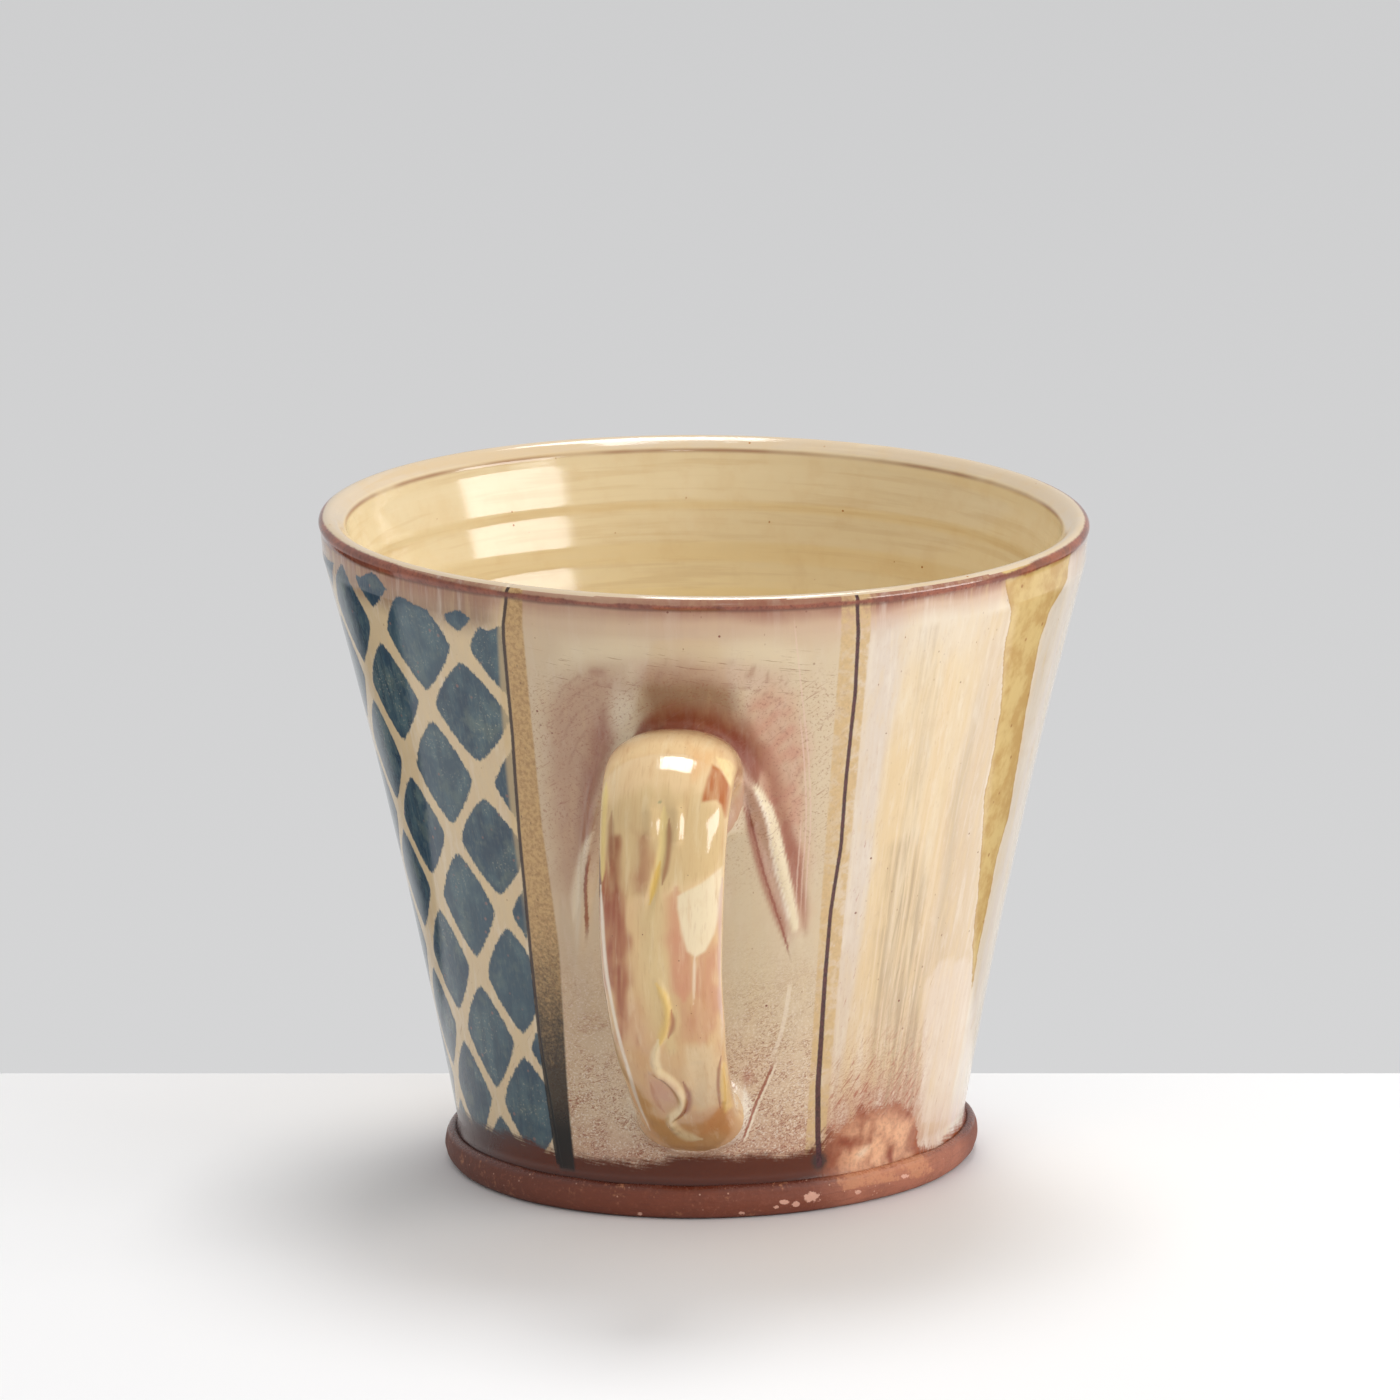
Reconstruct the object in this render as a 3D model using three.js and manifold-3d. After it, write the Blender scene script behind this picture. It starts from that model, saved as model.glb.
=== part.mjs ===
// A hand-thrown slipware mug: a flared vessel with a bevelled rim, a flanged
// foot ring, and a pulled strap handle with a splayed upper root and a thumbed
// lower terminal. Millimetres, +Z up. The origin is the centre of the resting
// plane, on the vessel's axis, and the handle stands out along -Y.
import * as THREE from "three";
import Module from "manifold-3d";
import { mergeVertices } from "three/addons/utils/BufferGeometryUtils.js";

// ---- driving dimensions (mm) ----
const HEIGHT = 96.8; // resting plane to top of lip
const RIM_R = 56.0; // outermost radius, on the lip
const BEVEL_EDGE_R = 52.2; // inner edge of the rim's bevel
const BEVEL_DROP = 1.45; // bevel edge below the top of the lip
const WALL_TOP = 3.9; // wall thickness under the rim
const WALL_FOOT = 4.8; // wall thickness above the floor
const FLOOR_TOP = 6.6; // inner floor height at the centre
const SPIGOT_R = 34.0; // flat base of the vessel, which the foot ring goes round
const FOOT_R = 39.25; // foot ring, largest radius
const FOOT_CONTACT_R = 37.55; // foot ring, outer edge of its resting face
const FOOT_TOP = 5.0; // foot ring, height of its upper lip
const GAP = 0.3; // clearance between neighbouring pieces
const LATHE_SEGMENTS = 72;
const STRAP_SIDES = 24;

const wasm = await Module();
wasm.setup();

// ---- helpers ----
// Outer radius of the thrown wall at height z: a flare with a very slight belly.
const wallOuter = (z) =>
  35.34 + 0.2109 * z + 0.00047 * (z - 45) * (z - 45);
const wallThickness = (z) =>
  THREE.MathUtils.lerp(WALL_FOOT, WALL_TOP, THREE.MathUtils.smoothstep(z, 10, 80));
const wallInner = (z) => wallOuter(z) - wallThickness(z);

function lathe(profile, segments = LATHE_SEGMENTS) {
  const g = new THREE.LatheGeometry(
    profile.map(([r, z]) => new THREE.Vector2(r, z)),
    segments,
  );
  g.rotateX(Math.PI / 2); // the lathe's own axis is Y
  return g;
}

function toSolid(geometry) {
  const g = new THREE.BufferGeometry().setAttribute(
    "position",
    (geometry.index ? geometry.toNonIndexed() : geometry).getAttribute("position"),
  );
  const m = mergeVertices(g, 1e-4);
  return new wasm.Manifold(
    new wasm.Mesh({
      numProp: 3,
      vertProperties: new Float32Array(m.attributes.position.array),
      triVerts: new Uint32Array(m.index.array),
    }),
  );
}

function toGeometry(solid) {
  const m = solid.getMesh();
  const v = new Float32Array(m.numVert * 3);
  for (let i = 0; i < m.numVert; i++)
    v.set(m.vertProperties.subarray(i * m.numProp, i * m.numProp + 3), i * 3);
  const g = new THREE.BufferGeometry();
  g.setAttribute("position", new THREE.BufferAttribute(v, 3));
  g.setIndex(new THREE.BufferAttribute(new Uint32Array(m.triVerts), 1));
  g.computeVertexNormals();
  return g;
}

// A closed loft through rounded sections. Each station gives its centre, its two
// unit directions, its half sizes and its squareness (2 is an ellipse).
function loft(stations, sides = STRAP_SIDES) {
  const pos = [];
  const index = [];
  for (const s of stations) {
    for (let i = 0; i < sides; i++) {
      const a = (i / sides) * Math.PI * 2;
      const c = Math.cos(a);
      const d = Math.sin(a);
      const e = 2 / (s.power ?? 2);
      const u = Math.sign(c) * Math.abs(c) ** e * s.halfU;
      const v = Math.sign(d) * Math.abs(d) ** e * s.halfV;
      const p = s.centre
        .clone()
        .addScaledVector(s.u, u)
        .addScaledVector(s.v, v);
      pos.push(p.x, p.y, p.z);
    }
  }
  const rings = stations.length;
  for (let k = 0; k < rings - 1; k++)
    for (let i = 0; i < sides; i++) {
      const j = (i + 1) % sides;
      const a = k * sides + i;
      const b = k * sides + j;
      const c = (k + 1) * sides + i;
      const d = (k + 1) * sides + j;
      index.push(a, b, d, a, d, c);
    }
  const first = pos.length / 3;
  const last = first + 1;
  const head = stations[0].centre;
  const tail = stations[rings - 1].centre;
  pos.push(head.x, head.y, head.z, tail.x, tail.y, tail.z);
  for (let i = 0; i < sides; i++) {
    const j = (i + 1) % sides;
    index.push(first, j, i);
    index.push(last, (rings - 1) * sides + i, (rings - 1) * sides + j);
  }
  const g = new THREE.BufferGeometry();
  g.setAttribute("position", new THREE.Float32BufferAttribute(pos, 3));
  g.setIndex(index);
  return g;
}

function solidLoft(stations, sides) {
  let s = toSolid(loft(stations, sides));
  if (s.volume() < 0) {
    const g = loft(stations, sides);
    const ix = g.index.array;
    for (let i = 0; i < ix.length; i += 3) [ix[i + 1], ix[i + 2]] = [ix[i + 2], ix[i + 1]];
    s = toSolid(g);
  }
  return s;
}

// ---- vessel: wall, floor and rim, thrown as one piece ----
const outer = [9, 15, 24, 34, 45, 56, 67, 78, 90].map((z) => [wallOuter(z), z]);
const inner = [90, 78, 64, 50, 38, 28, 20].map((z) => [wallInner(z), z]);

const vesselProfile = [
  [0, 0],
  [SPIGOT_R - 0.5, 0],
  [SPIGOT_R, 0.5],
  [SPIGOT_R, FOOT_TOP - 0.8],
  [36.6, FOOT_TOP - 0.75], // groove behind the foot ring's lip
  [36.95, FOOT_TOP - 0.25],
  [37.1, FOOT_TOP + 0.3],
  [wallOuter(7), 7],
  ...outer,
  [wallOuter(92), 92],
  [RIM_R, 94.2],
  [RIM_R - 0.06, 95.2],
  [RIM_R - 0.4, 96.05],
  [RIM_R - 1.0, HEIGHT - 0.2],
  [RIM_R - 1.7, HEIGHT],
  [RIM_R - 2.6, HEIGHT - 0.4],
  [BEVEL_EDGE_R, HEIGHT - BEVEL_DROP],
  [BEVEL_EDGE_R - 0.4, HEIGHT - BEVEL_DROP - 1.3],
  ...inner,
  [wallInner(14) - 0.6, 13.2],
  [wallInner(12) - 1.9, 10.2],
  [wallInner(12) - 4.2, 8.1],
  [wallInner(12) - 7.5, 7.0],
  [18, FLOOR_TOP + 0.05],
  [0, FLOOR_TOP],
];

// ---- foot ring: the flange that the mug stands on ----
const footProfile = [
  [SPIGOT_R + GAP, 0.5],
  [SPIGOT_R + GAP + 0.5, 0],
  [FOOT_CONTACT_R, 0],
  [38.4, 0.5],
  [39.0, 1.4],
  [FOOT_R, 2.5],
  [39.1, 3.6],
  [38.75, 4.4],
  [38.3, FOOT_TOP - 0.05],
  [37.8, FOOT_TOP],
  [37.45, FOOT_TOP - 0.3],
  [37.2, FOOT_TOP - 0.7],
  [36.6, FOOT_TOP - 1.1],
  [SPIGOT_R + GAP, FOOT_TOP - 1.1],
  [SPIGOT_R + GAP, 0.5],
];

// ---- handle ----
// Centreline in the handle's plane: distance from the axis, height, sideways
// drift, half width, half thickness.
const HANDLE = [
  // rho, z, x, halfWidth, halfThickness
  [45.6, 65.0, 0.3, 10.6, 7.0],
  [50.4, 68.6, 0.3, 10.0, 6.5],
  [56.0, 71.6, 0.35, 9.7, 6.0],
  [62.5, 73.2, 0.4, 9.5, 5.6],
  [68.4, 73.5, 0.4, 9.4, 5.3],
  [73.2, 72.3, 0.4, 9.3, 5.1],
  [76.3, 69.6, 0.35, 9.15, 5.0],
  [78.2, 65.3, 0.3, 9.0, 4.9],
  [79.2, 60.0, 0.3, 8.9, 4.85],
  [79.5, 54.0, 0.3, 8.75, 4.8],
  [78.1, 47.4, 0.3, 8.6, 4.7],
  [73.2, 40.0, 0.4, 8.35, 4.6],
  [65.3, 32.5, 0.5, 8.0, 4.6],
  [56.4, 26.3, 0.6, 7.6, 4.7],
  [48.6, 21.8, 0.7, 7.3, 4.9],
  [41.6, 18.3, 0.8, 7.2, 5.1],
  [36.4, 16.5, 0.8, 7.2, 5.2],
];
const path = new THREE.CatmullRomCurve3(
  HANDLE.map(([rho, z, x]) => new THREE.Vector3(x, -rho, z)),
  false,
  "centripetal",
);
const widths = new THREE.SplineCurve(HANDLE.map((h, i) => new THREE.Vector2(i, h[3])));
const depths = new THREE.SplineCurve(HANDLE.map((h, i) => new THREE.Vector2(i, h[4])));

function station(t, power = 2.35) {
  const centre = path.getPoint(t);
  const along = path.getTangent(t);
  const v = new THREE.Vector3(0, -along.z, along.y).normalize(); // in the handle's plane
  const u = new THREE.Vector3().crossVectors(along, v).normalize();
  return {
    centre,
    u,
    v,
    halfU: widths.getPoint(t).y,
    halfV: depths.getPoint(t).y,
    power,
  };
}

// Where along the path the strap begins and ends: outside the two roots.
function parameterAt(rho, from, to) {
  let lo = from;
  let hi = to;
  const outward = -path.getPoint(lo).y < -path.getPoint(hi).y;
  for (let i = 0; i < 40; i++) {
    const mid = (lo + hi) / 2;
    const reached = -path.getPoint(mid).y < rho;
    if (reached === outward) lo = mid;
    else hi = mid;
  }
  return (lo + hi) / 2;
}
const ROOT_OUT = 57.0; // upper root ends and strap begins, from the axis
const TAIL_OUT = 47.5; // strap ends and lower terminal begins
const tTop = parameterAt(ROOT_OUT, 0, 0.4);
const tTail = parameterAt(TAIL_OUT, 0.75, 1);

const range = (a, b, n) => Array.from({ length: n + 1 }, (_, i) => a + ((b - a) * i) / n);

// the solid that everything on the wall is trimmed to
const wallCut = toSolid(
  lathe([
    [0, -5],
    [wallOuter(4) + GAP, -5],
    ...[4, 9, 15, 24, 34, 45, 56, 67, 78, 90].map((z) => [wallOuter(z) + GAP, z]),
    [wallOuter(94) + GAP, 110],
    [0, 110],
  ]),
);

const strap = solidLoft(range(tTop, tTail, 30).map((t) => station(t)));

// Cutting planes that leave a clear gap between strap and roots.
function halfSpaceBox(t, side) {
  const s = station(t);
  const along = new THREE.Vector3().crossVectors(s.u, s.v).normalize();
  const tangent = path.getTangent(t);
  if (along.dot(tangent) < 0) along.negate();
  const g = new THREE.BoxGeometry(60, 60, 60);
  g.translate(0, 0, 30 * side);
  const m = new THREE.Matrix4().makeBasis(
    new THREE.Vector3().crossVectors(s.v, along).normalize(),
    s.v,
    along,
  );
  g.applyMatrix4(m);
  g.translate(s.centre.x, s.centre.y, s.centre.z);
  return toSolid(g);
}

// Upper root: the strap's section widening into a pad on the wall, with a rib of
// clay smeared down the wall on each side.
const flare = (t, t0, t1) => 1 - THREE.MathUtils.smoothstep(t, t0, t1);
const rootCore = solidLoft(
  range(0, tTop - 0.0035, 8).map((t) => {
    const s = station(t);
    const f = flare(t, 0, tTop);
    s.halfU += 2.2 * f * f;
    s.halfV += 0.8 * f * f;
    s.power = 2.35 - 0.25 * f;
    return s;
  }),
);

function onWall(arc, z, lift) {
  // a point on the wall at an arc length from the handle's plane
  const r = wallOuter(z);
  const a = arc / r;
  return new THREE.Vector3((r + lift) * Math.sin(a), -(r + lift) * Math.cos(a), z);
}

function rib(side) {
  const pts = [
    // arc, z, half width, height
    [6.2, 71.6, 2.2, 3.6],
    [9.2, 69.2, 2.3, 3.4],
    [11.6, 65.2, 2.1, 2.8],
    [13.2, 60.2, 1.9, 2.2],
    [14.4, 54.8, 1.6, 1.8],
    [15.4, 49.2, 1.3, 1.4],
    [16.3, 43.8, 0.9, 0.9],
  ];
  const line = new THREE.CatmullRomCurve3(pts.map(([a, z]) => onWall(side * a, z, 0)));
  const w = new THREE.SplineCurve(pts.map((p, i) => new THREE.Vector2(i, p[2])));
  const h = new THREE.SplineCurve(pts.map((p, i) => new THREE.Vector2(i, p[3])));
  return solidLoft(
    range(0, 1, 14).map((t) => {
      const centre = line.getPoint(t);
      const along = line.getTangent(t);
      const out = new THREE.Vector3(centre.x, centre.y, 0).normalize();
      const u = new THREE.Vector3().crossVectors(along, out).normalize();
      const v = new THREE.Vector3().crossVectors(u, along).normalize();
      return { centre, u, v, halfU: w.getPoint(t).y, halfV: h.getPoint(t).y, power: 2 };
    }),
    12,
  );
}
const root = rootCore.add(rib(1)).add(rib(-1)).subtract(wallCut);

// Lower terminal: the strap's end, pressed onto the wall just above the foot.
const tailCore = solidLoft(
  range(tTail + 0.0035, 1, 7).map((t) => {
    const s = station(t);
    const f = THREE.MathUtils.smoothstep(t, tTail, 1);
    s.halfU += 1.0 * f * f;
    s.halfV += 0.6 * f * f;
    s.power = 2.35 - 0.2 * f;
    return s;
  }),
);
const footClear = toSolid(
  lathe([
    [0, -5],
    [FOOT_R + 6, -5],
    [FOOT_R + 6, 7.0],
    [0, 7.0],
  ]),
);
const tail = tailCore.subtract(wallCut).subtract(footClear);
const strapPiece = strap
  .subtract(halfSpaceBox(tTop, -1))
  .subtract(halfSpaceBox(tTail, 1));

// keep only the part outside the wall where a cut leaves slivers
function largest(solid) {
  const parts = solid.decompose();
  return parts.reduce((a, b) => (a.volume() > b.volume() ? a : b));
}

// ---- materials: red earthenware body, cream slip under a clear honey glaze ----
const slipGlaze = (hex) =>
  new THREE.MeshStandardMaterial({ color: hex, roughness: 0.16, metalness: 0 });
const bareClay = new THREE.MeshStandardMaterial({
  color: 0x8a4a35,
  roughness: 0.6,
  metalness: 0,
});

function piece(name, geometry, material) {
  const m = new THREE.Mesh(geometry, material);
  m.name = name;
  return m;
}

const mug = new THREE.Group();
mug.add(
  piece("vessel_body", lathe(vesselProfile), slipGlaze(0xe2cfaf)),
  piece("foot_ring", lathe(footProfile), bareClay),
);
const handle = new THREE.Group();
handle.add(
  piece("handle_strap", toGeometry(largest(strapPiece)), slipGlaze(0xe0c48c)),
  piece("handle_upper_root", toGeometry(largest(root)), slipGlaze(0xdcc6a0)),
  piece("handle_lower_terminal", toGeometry(largest(tail)), slipGlaze(0xd9ba84)),
);
mug.add(handle);

export default mug;
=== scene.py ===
"""Looks of a hand-thrown slipware mug: glazed wall, matt foot ring and pulled strap handle.

All shapes are worked out in millimetres in the part's frame (+Z up, handle on -Y) and
turned to metres when the meshes are made. Angles round the mug are in degrees from the
handle, positive towards +X.
"""

import math

import bpy
import numpy as np
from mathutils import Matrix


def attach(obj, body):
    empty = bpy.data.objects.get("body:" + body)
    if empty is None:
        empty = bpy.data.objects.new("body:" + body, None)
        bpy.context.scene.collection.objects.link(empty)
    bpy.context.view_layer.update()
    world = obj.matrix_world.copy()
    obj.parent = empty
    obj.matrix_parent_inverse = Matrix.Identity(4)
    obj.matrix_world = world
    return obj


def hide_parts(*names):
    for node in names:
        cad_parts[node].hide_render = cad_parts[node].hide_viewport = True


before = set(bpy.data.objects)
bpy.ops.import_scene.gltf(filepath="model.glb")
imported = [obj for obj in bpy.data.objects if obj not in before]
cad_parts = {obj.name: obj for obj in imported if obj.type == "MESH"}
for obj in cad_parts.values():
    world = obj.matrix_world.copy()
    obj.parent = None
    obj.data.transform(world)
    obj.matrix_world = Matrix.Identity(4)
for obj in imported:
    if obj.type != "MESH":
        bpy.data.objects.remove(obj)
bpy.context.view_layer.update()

RNG = np.random.default_rng(7)


# --------------------------------------------------------------------- small helpers
def lin(rgb):
    """sRGB 0..255 to linear."""
    c = np.asarray(rgb, float) / 255.0
    return np.where(c <= 0.04045, c / 12.92, ((c + 0.055) / 1.055) ** 2.4)


def lerp(a, b, t):
    return a + (b - a) * t


def smooth(x, lo, hi):
    t = np.clip((x - lo) / (hi - lo), 0, 1)
    return t * t * (3 - 2 * t)


def bell(x, w):
    """1 at zero, falling smoothly to 0 at about 1.6 w."""
    return 0.5 * (1 + np.cos(np.pi * np.clip(np.abs(x) / (1.6 * w), 0, 1)))


def spline(points, n):
    """Centripetal Catmull-Rom through points, n samples spread evenly along it."""
    p = np.asarray(points, float)
    p = np.vstack([2 * p[0] - p[1], p, 2 * p[-1] - p[-2]])
    out = []
    for i in range(1, len(p) - 2):
        p0, p1, p2, p3 = p[i - 1], p[i], p[i + 1], p[i + 2]
        d = [max(1e-6, np.linalg.norm(b[:3] - a[:3])) ** 0.5 for a, b in ((p0, p1), (p1, p2), (p2, p3))]
        t0, t1 = 0.0, d[0]
        t2 = t1 + d[1]
        t3 = t2 + d[2]
        t = np.linspace(t1, t2, 24, endpoint=False)[:, None]
        a1 = (t1 - t) / (t1 - t0) * p0 + (t - t0) / (t1 - t0) * p1
        a2 = (t2 - t) / (t2 - t1) * p1 + (t - t1) / (t2 - t1) * p2
        a3 = (t3 - t) / (t3 - t2) * p2 + (t - t2) / (t3 - t2) * p3
        b1 = (t2 - t) / (t2 - t0) * a1 + (t - t0) / (t2 - t0) * a2
        b2 = (t3 - t) / (t3 - t1) * a2 + (t - t1) / (t3 - t1) * a3
        out.append((t2 - t) / (t2 - t1) * b1 + (t - t1) / (t2 - t1) * b2)
    out.append(p[-2][None])
    q = np.vstack(out)
    s = np.concatenate([[0], np.cumsum(np.linalg.norm(np.diff(q[:, :3], axis=0), axis=1))])
    u = np.linspace(0, s[-1], n)
    return np.stack([np.interp(u, s, q[:, k]) for k in range(q.shape[1])], 1)


def to_line(x, y, points):
    """Distance from (x, y) to a polyline, and how far along it (0..1) the nearest point is."""
    pts = np.asarray(points, float)
    seg = np.diff(pts, axis=0)
    length = np.linalg.norm(seg, axis=1)
    start = np.concatenate([[0], np.cumsum(length)])
    best = np.full(np.shape(x), 1e9)
    along = np.zeros(np.shape(x))
    for i in range(len(seg)):
        dx, dy = x - pts[i, 0], y - pts[i, 1]
        t = np.clip((dx * seg[i, 0] + dy * seg[i, 1]) / max(1e-9, length[i] ** 2), 0, 1)
        d = np.hypot(dx - t * seg[i, 0], dy - t * seg[i, 1])
        near = d < best
        best = np.where(near, d, best)
        along = np.where(near, (start[i] + t * length[i]) / start[-1], along)
    return best, along


def inside(x, y, polygon):
    """Signed distance to a closed polygon, positive inside."""
    pts = np.asarray(polygon, float)
    ring = np.vstack([pts, pts[:1]])
    d, _ = to_line(x, y, ring)
    hit = np.zeros(np.shape(x), bool)
    for (x0, y0), (x1, y1) in zip(ring[:-1], ring[1:]):
        cross = (y0 > y) != (y1 > y)
        with np.errstate(divide="ignore", invalid="ignore"):
            at = x0 + (y - y0) * (x1 - x0) / (y1 - y0 if y1 != y0 else 1e-9)
        hit ^= cross & (x < at)
    return np.where(hit, d, -d)


def lattice(ix, iy, iz, seed):
    h = (ix * 374761393 + iy * 668265263 + iz * 2147483647 + seed * 144665) & 0xFFFFFFFF
    h = ((h ^ (h >> 13)) * 1274126177) & 0xFFFFFFFF
    return ((h ^ (h >> 16)) & 0xFFFF) / 65535.0


def wobble(x, y, z, size, seed=0):
    """Smooth value noise, -1..1, with features about size across."""
    x, y, z = (np.asarray(a, float) / size + 100.0 for a in (x, y, z))
    ix, iy, iz = (np.floor(a).astype(np.int64) for a in (x, y, z))
    fx, fy, fz = x - ix, y - iy, z - iz
    fx, fy, fz = (f * f * (3 - 2 * f) for f in (fx, fy, fz))
    total = 0
    for dx in (0, 1):
        for dy in (0, 1):
            for dz in (0, 1):
                w = (fx if dx else 1 - fx) * (fy if dy else 1 - fy) * (fz if dz else 1 - fz)
                total = total + w * lattice(ix + dx, iy + dy, iz + dz, seed)
    return total * 2 - 1


# --------------------------------------------------------------------- the thrown form
HEIGHT = 96.8
TILT = math.radians(5.1)  # the wall is very slightly out of round, measured from this angle
LEAN = 1.26  # the foot's centre is this far from the rim's


def wall_outer(z):
    return 35.34 + 0.2109 * z + 0.00047 * (z - 45) ** 2


def wall_inner(z):
    t = smooth(np.asarray(z, float), 10, 80)
    return wall_outer(z) - lerp(4.8, 3.9, t)


def oval(phi, z):
    t = np.clip(z / HEIGHT, 0, 1)
    return lerp(-0.006, 0.544, t) * np.cos(2 * phi) + lerp(1.455, -0.745, t) * np.sin(2 * phi)


def place(theta, r, z, share=1.0):
    """Point at angle theta (degrees), radius r and height z, on the slightly uneven form."""
    phi = np.radians(theta) - TILT - math.pi / 2
    z = np.asarray(z, float)
    rr = r + oval(phi, z) * share
    x = (LEAN * (1 - z / HEIGHT) - LEAN / 2) * np.ones_like(rr) + rr * np.cos(phi)
    y = rr * np.sin(phi)
    c, s = math.cos(TILT), math.sin(TILT)
    return np.stack([x * c - y * s, x * s + y * c, z * np.ones_like(rr)], -1)


# front elevation of a point: where its paint lies, in the units of the painted layout
VIEW_F, VIEW_D, VIEW_H, VIEW_P, VIEW_X = 14976.1, 2143.92, 577.61, 0.23306, 703.63


def elevation(p):
    c, s = math.cos(TILT), math.sin(TILT)
    x = p[..., 0] * c + p[..., 1] * s + LEAN / 2
    y = -p[..., 0] * s + p[..., 1] * c + VIEW_D
    z = p[..., 2] - VIEW_H
    depth = y * math.cos(VIEW_P) - z * math.sin(VIEW_P)
    up = y * math.sin(VIEW_P) + z * math.cos(VIEW_P)
    return VIEW_X + VIEW_F * x / depth, 700 - VIEW_F * up / depth


# --------------------------------------------------------------------- the handle's path
# distance from the axis, height, sideways drift, half width, half thickness
HANDLE = np.array([
    [45.6, 65.0, 0.20, 9.2, 7.0],
    [50.4, 68.7, 0.30, 9.3, 6.5],
    [56.0, 71.6, 0.50, 9.4, 6.0],
    [62.5, 73.2, 0.60, 9.45, 5.6],
    [68.4, 73.5, 0.60, 9.4, 5.3],
    [73.2, 72.3, 0.60, 9.3, 5.1],
    [76.3, 69.6, 0.50, 9.15, 5.0],
    [78.2, 65.3, 0.45, 9.0, 4.9],
    [79.2, 60.0, 0.40, 8.9, 4.85],
    [79.5, 54.0, 0.40, 8.75, 4.8],
    [78.1, 47.4, 0.42, 8.55, 4.7],
    [73.2, 40.0, 0.48, 8.3, 4.6],
    [65.3, 32.2, 0.55, 7.95, 4.6],
    [56.4, 25.8, 0.65, 7.6, 4.7],
    [48.6, 21.0, 0.75, 7.4, 4.9],
    [41.6, 17.3, 0.80, 7.4, 5.1],
    [36.4, 15.4, 0.80, 7.4, 5.2],
])
POWER = 2.12
STATIONS = 420
path = spline(np.stack([HANDLE[:, 2], -HANDLE[:, 0], HANDLE[:, 1], HANDLE[:, 3], HANDLE[:, 4]], 1), STATIONS)
centre = path[:, :3]
half_u, half_v = path[:, 3].copy(), path[:, 4].copy()
along = np.gradient(centre, axis=0)
along /= np.linalg.norm(along, axis=1)[:, None]
out_v = np.stack([np.zeros(STATIONS), -along[:, 2], along[:, 1]], 1)
out_v /= np.linalg.norm(out_v, axis=1)[:, None]
side_u = np.cross(along, out_v)
side_u /= np.linalg.norm(side_u, axis=1)[:, None]
# out_v points away from the wall at the top of the arch, side_u towards +X
flip = np.sign((out_v * np.array([0, -1, 0])).sum(1).mean() + (out_v[:, 2]).mean() * 0.2)
if flip < 0:
    out_v = -out_v
if side_u[:, 0].mean() < 0:
    side_u = -side_u
rho = -centre[:, 1]
top = np.argmax(centre[:, 2])
root = 1 - smooth(np.arange(STATIONS), 0, np.argmin(np.abs(rho[:top] - 57.0)) + 1)
tail_start = top + np.argmin(np.abs(rho[top:] - 47.5))
tail = smooth(np.arange(STATIONS), tail_start, STATIONS - 1)
half_u += 0.5 * root**2 + 0.8 * tail**2
half_v += 0.8 * root**2 + 0.6 * tail**2


def strap_distance(p):
    """Signed distance (near enough) from points to the handle's plain sweep."""
    p = p.reshape(-1, 3)
    best = np.empty(len(p))
    for a in range(0, len(p), 6000):
        q = p[a : a + 6000]
        d2 = ((q[:, None, :] - centre[None, ::2]) ** 2).sum(-1)
        k = d2.argmin(1) * 2
        rel = q - centre[k]
        u = (rel * side_u[k]).sum(1)
        v = (rel * out_v[k]).sum(1)
        w = (rel * along[k]).sum(1)
        r = np.hypot(u, v) + 1e-9
        rs = ((np.abs(u / r) / half_u[k]) ** POWER + (np.abs(v / r) / half_v[k]) ** POWER) ** (-1 / POWER)
        d = r - rs
        over = np.maximum(0, np.abs(w) - 0.8)
        best[a : a + 6000] = np.where(over > 0, np.hypot(np.maximum(d, 0), over) + np.minimum(d, 0), d)
    return best


def blend_min(a, b, k):
    h = np.clip(k - np.abs(a - b), 0, None) / k
    return np.minimum(a, b) - h * h * k * 0.25


# --------------------------------------------------------------------- vessel mesh
front = np.concatenate([np.arange(-84, -26, 0.65), np.arange(-26, 27, 0.42), np.arange(27, 94, 0.65)])
back = np.linspace(94, 276, 84)[1:-1]
THETA = np.concatenate([front, back])
THETA = np.where(THETA > 180, THETA - 360, THETA)

lip = spline([[float(wall_outer(91.0)), 91.0], [55.58, 92.4], [55.68, 93.6], [55.74, 94.6], [55.86, 95.05], [56.0, 95.45], [55.98, 95.85],
              [55.78, 96.25], [55.4, 96.55], [54.9, 96.74], [54.3, 96.74], [53.6, 96.45], [53.0, 96.05], [52.5, 95.68], [52.2, 95.4],
              [51.98, 95.0], [51.86, 94.4], [51.7, 93.5]], 60)
rows = []  # radius, height, kind: 0 base, 1 outer wall, 2 lip, 3 inner wall, 4 floor
for r, z in [(12, 0), (24, 0), (32.6, 0), (33.4, 0.05), (33.8, 0.25), (34, 0.6), (34, 2.2), (34, 3.7), (34.3, 4.1), (35.6, 4.2), (36.8, 4.3),
             (37.35, 4.45), (37.68, 4.72), (37.62, 5.0), (37.5, 5.4), (37.43, 5.9), (float(wall_outer(6.6)) - 0.01, 6.6)]:
    rows.append((r, z, 0))
for z in np.concatenate([np.arange(7.4, 27, 0.5), np.arange(27, 57, 1.0), np.arange(57, 84, 0.5), np.arange(84, 90.6, 1.0)]):
    rows.append((float(wall_outer(z)), z, 1))
for r, z in lip:
    rows.append((r, z, 2))
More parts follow.
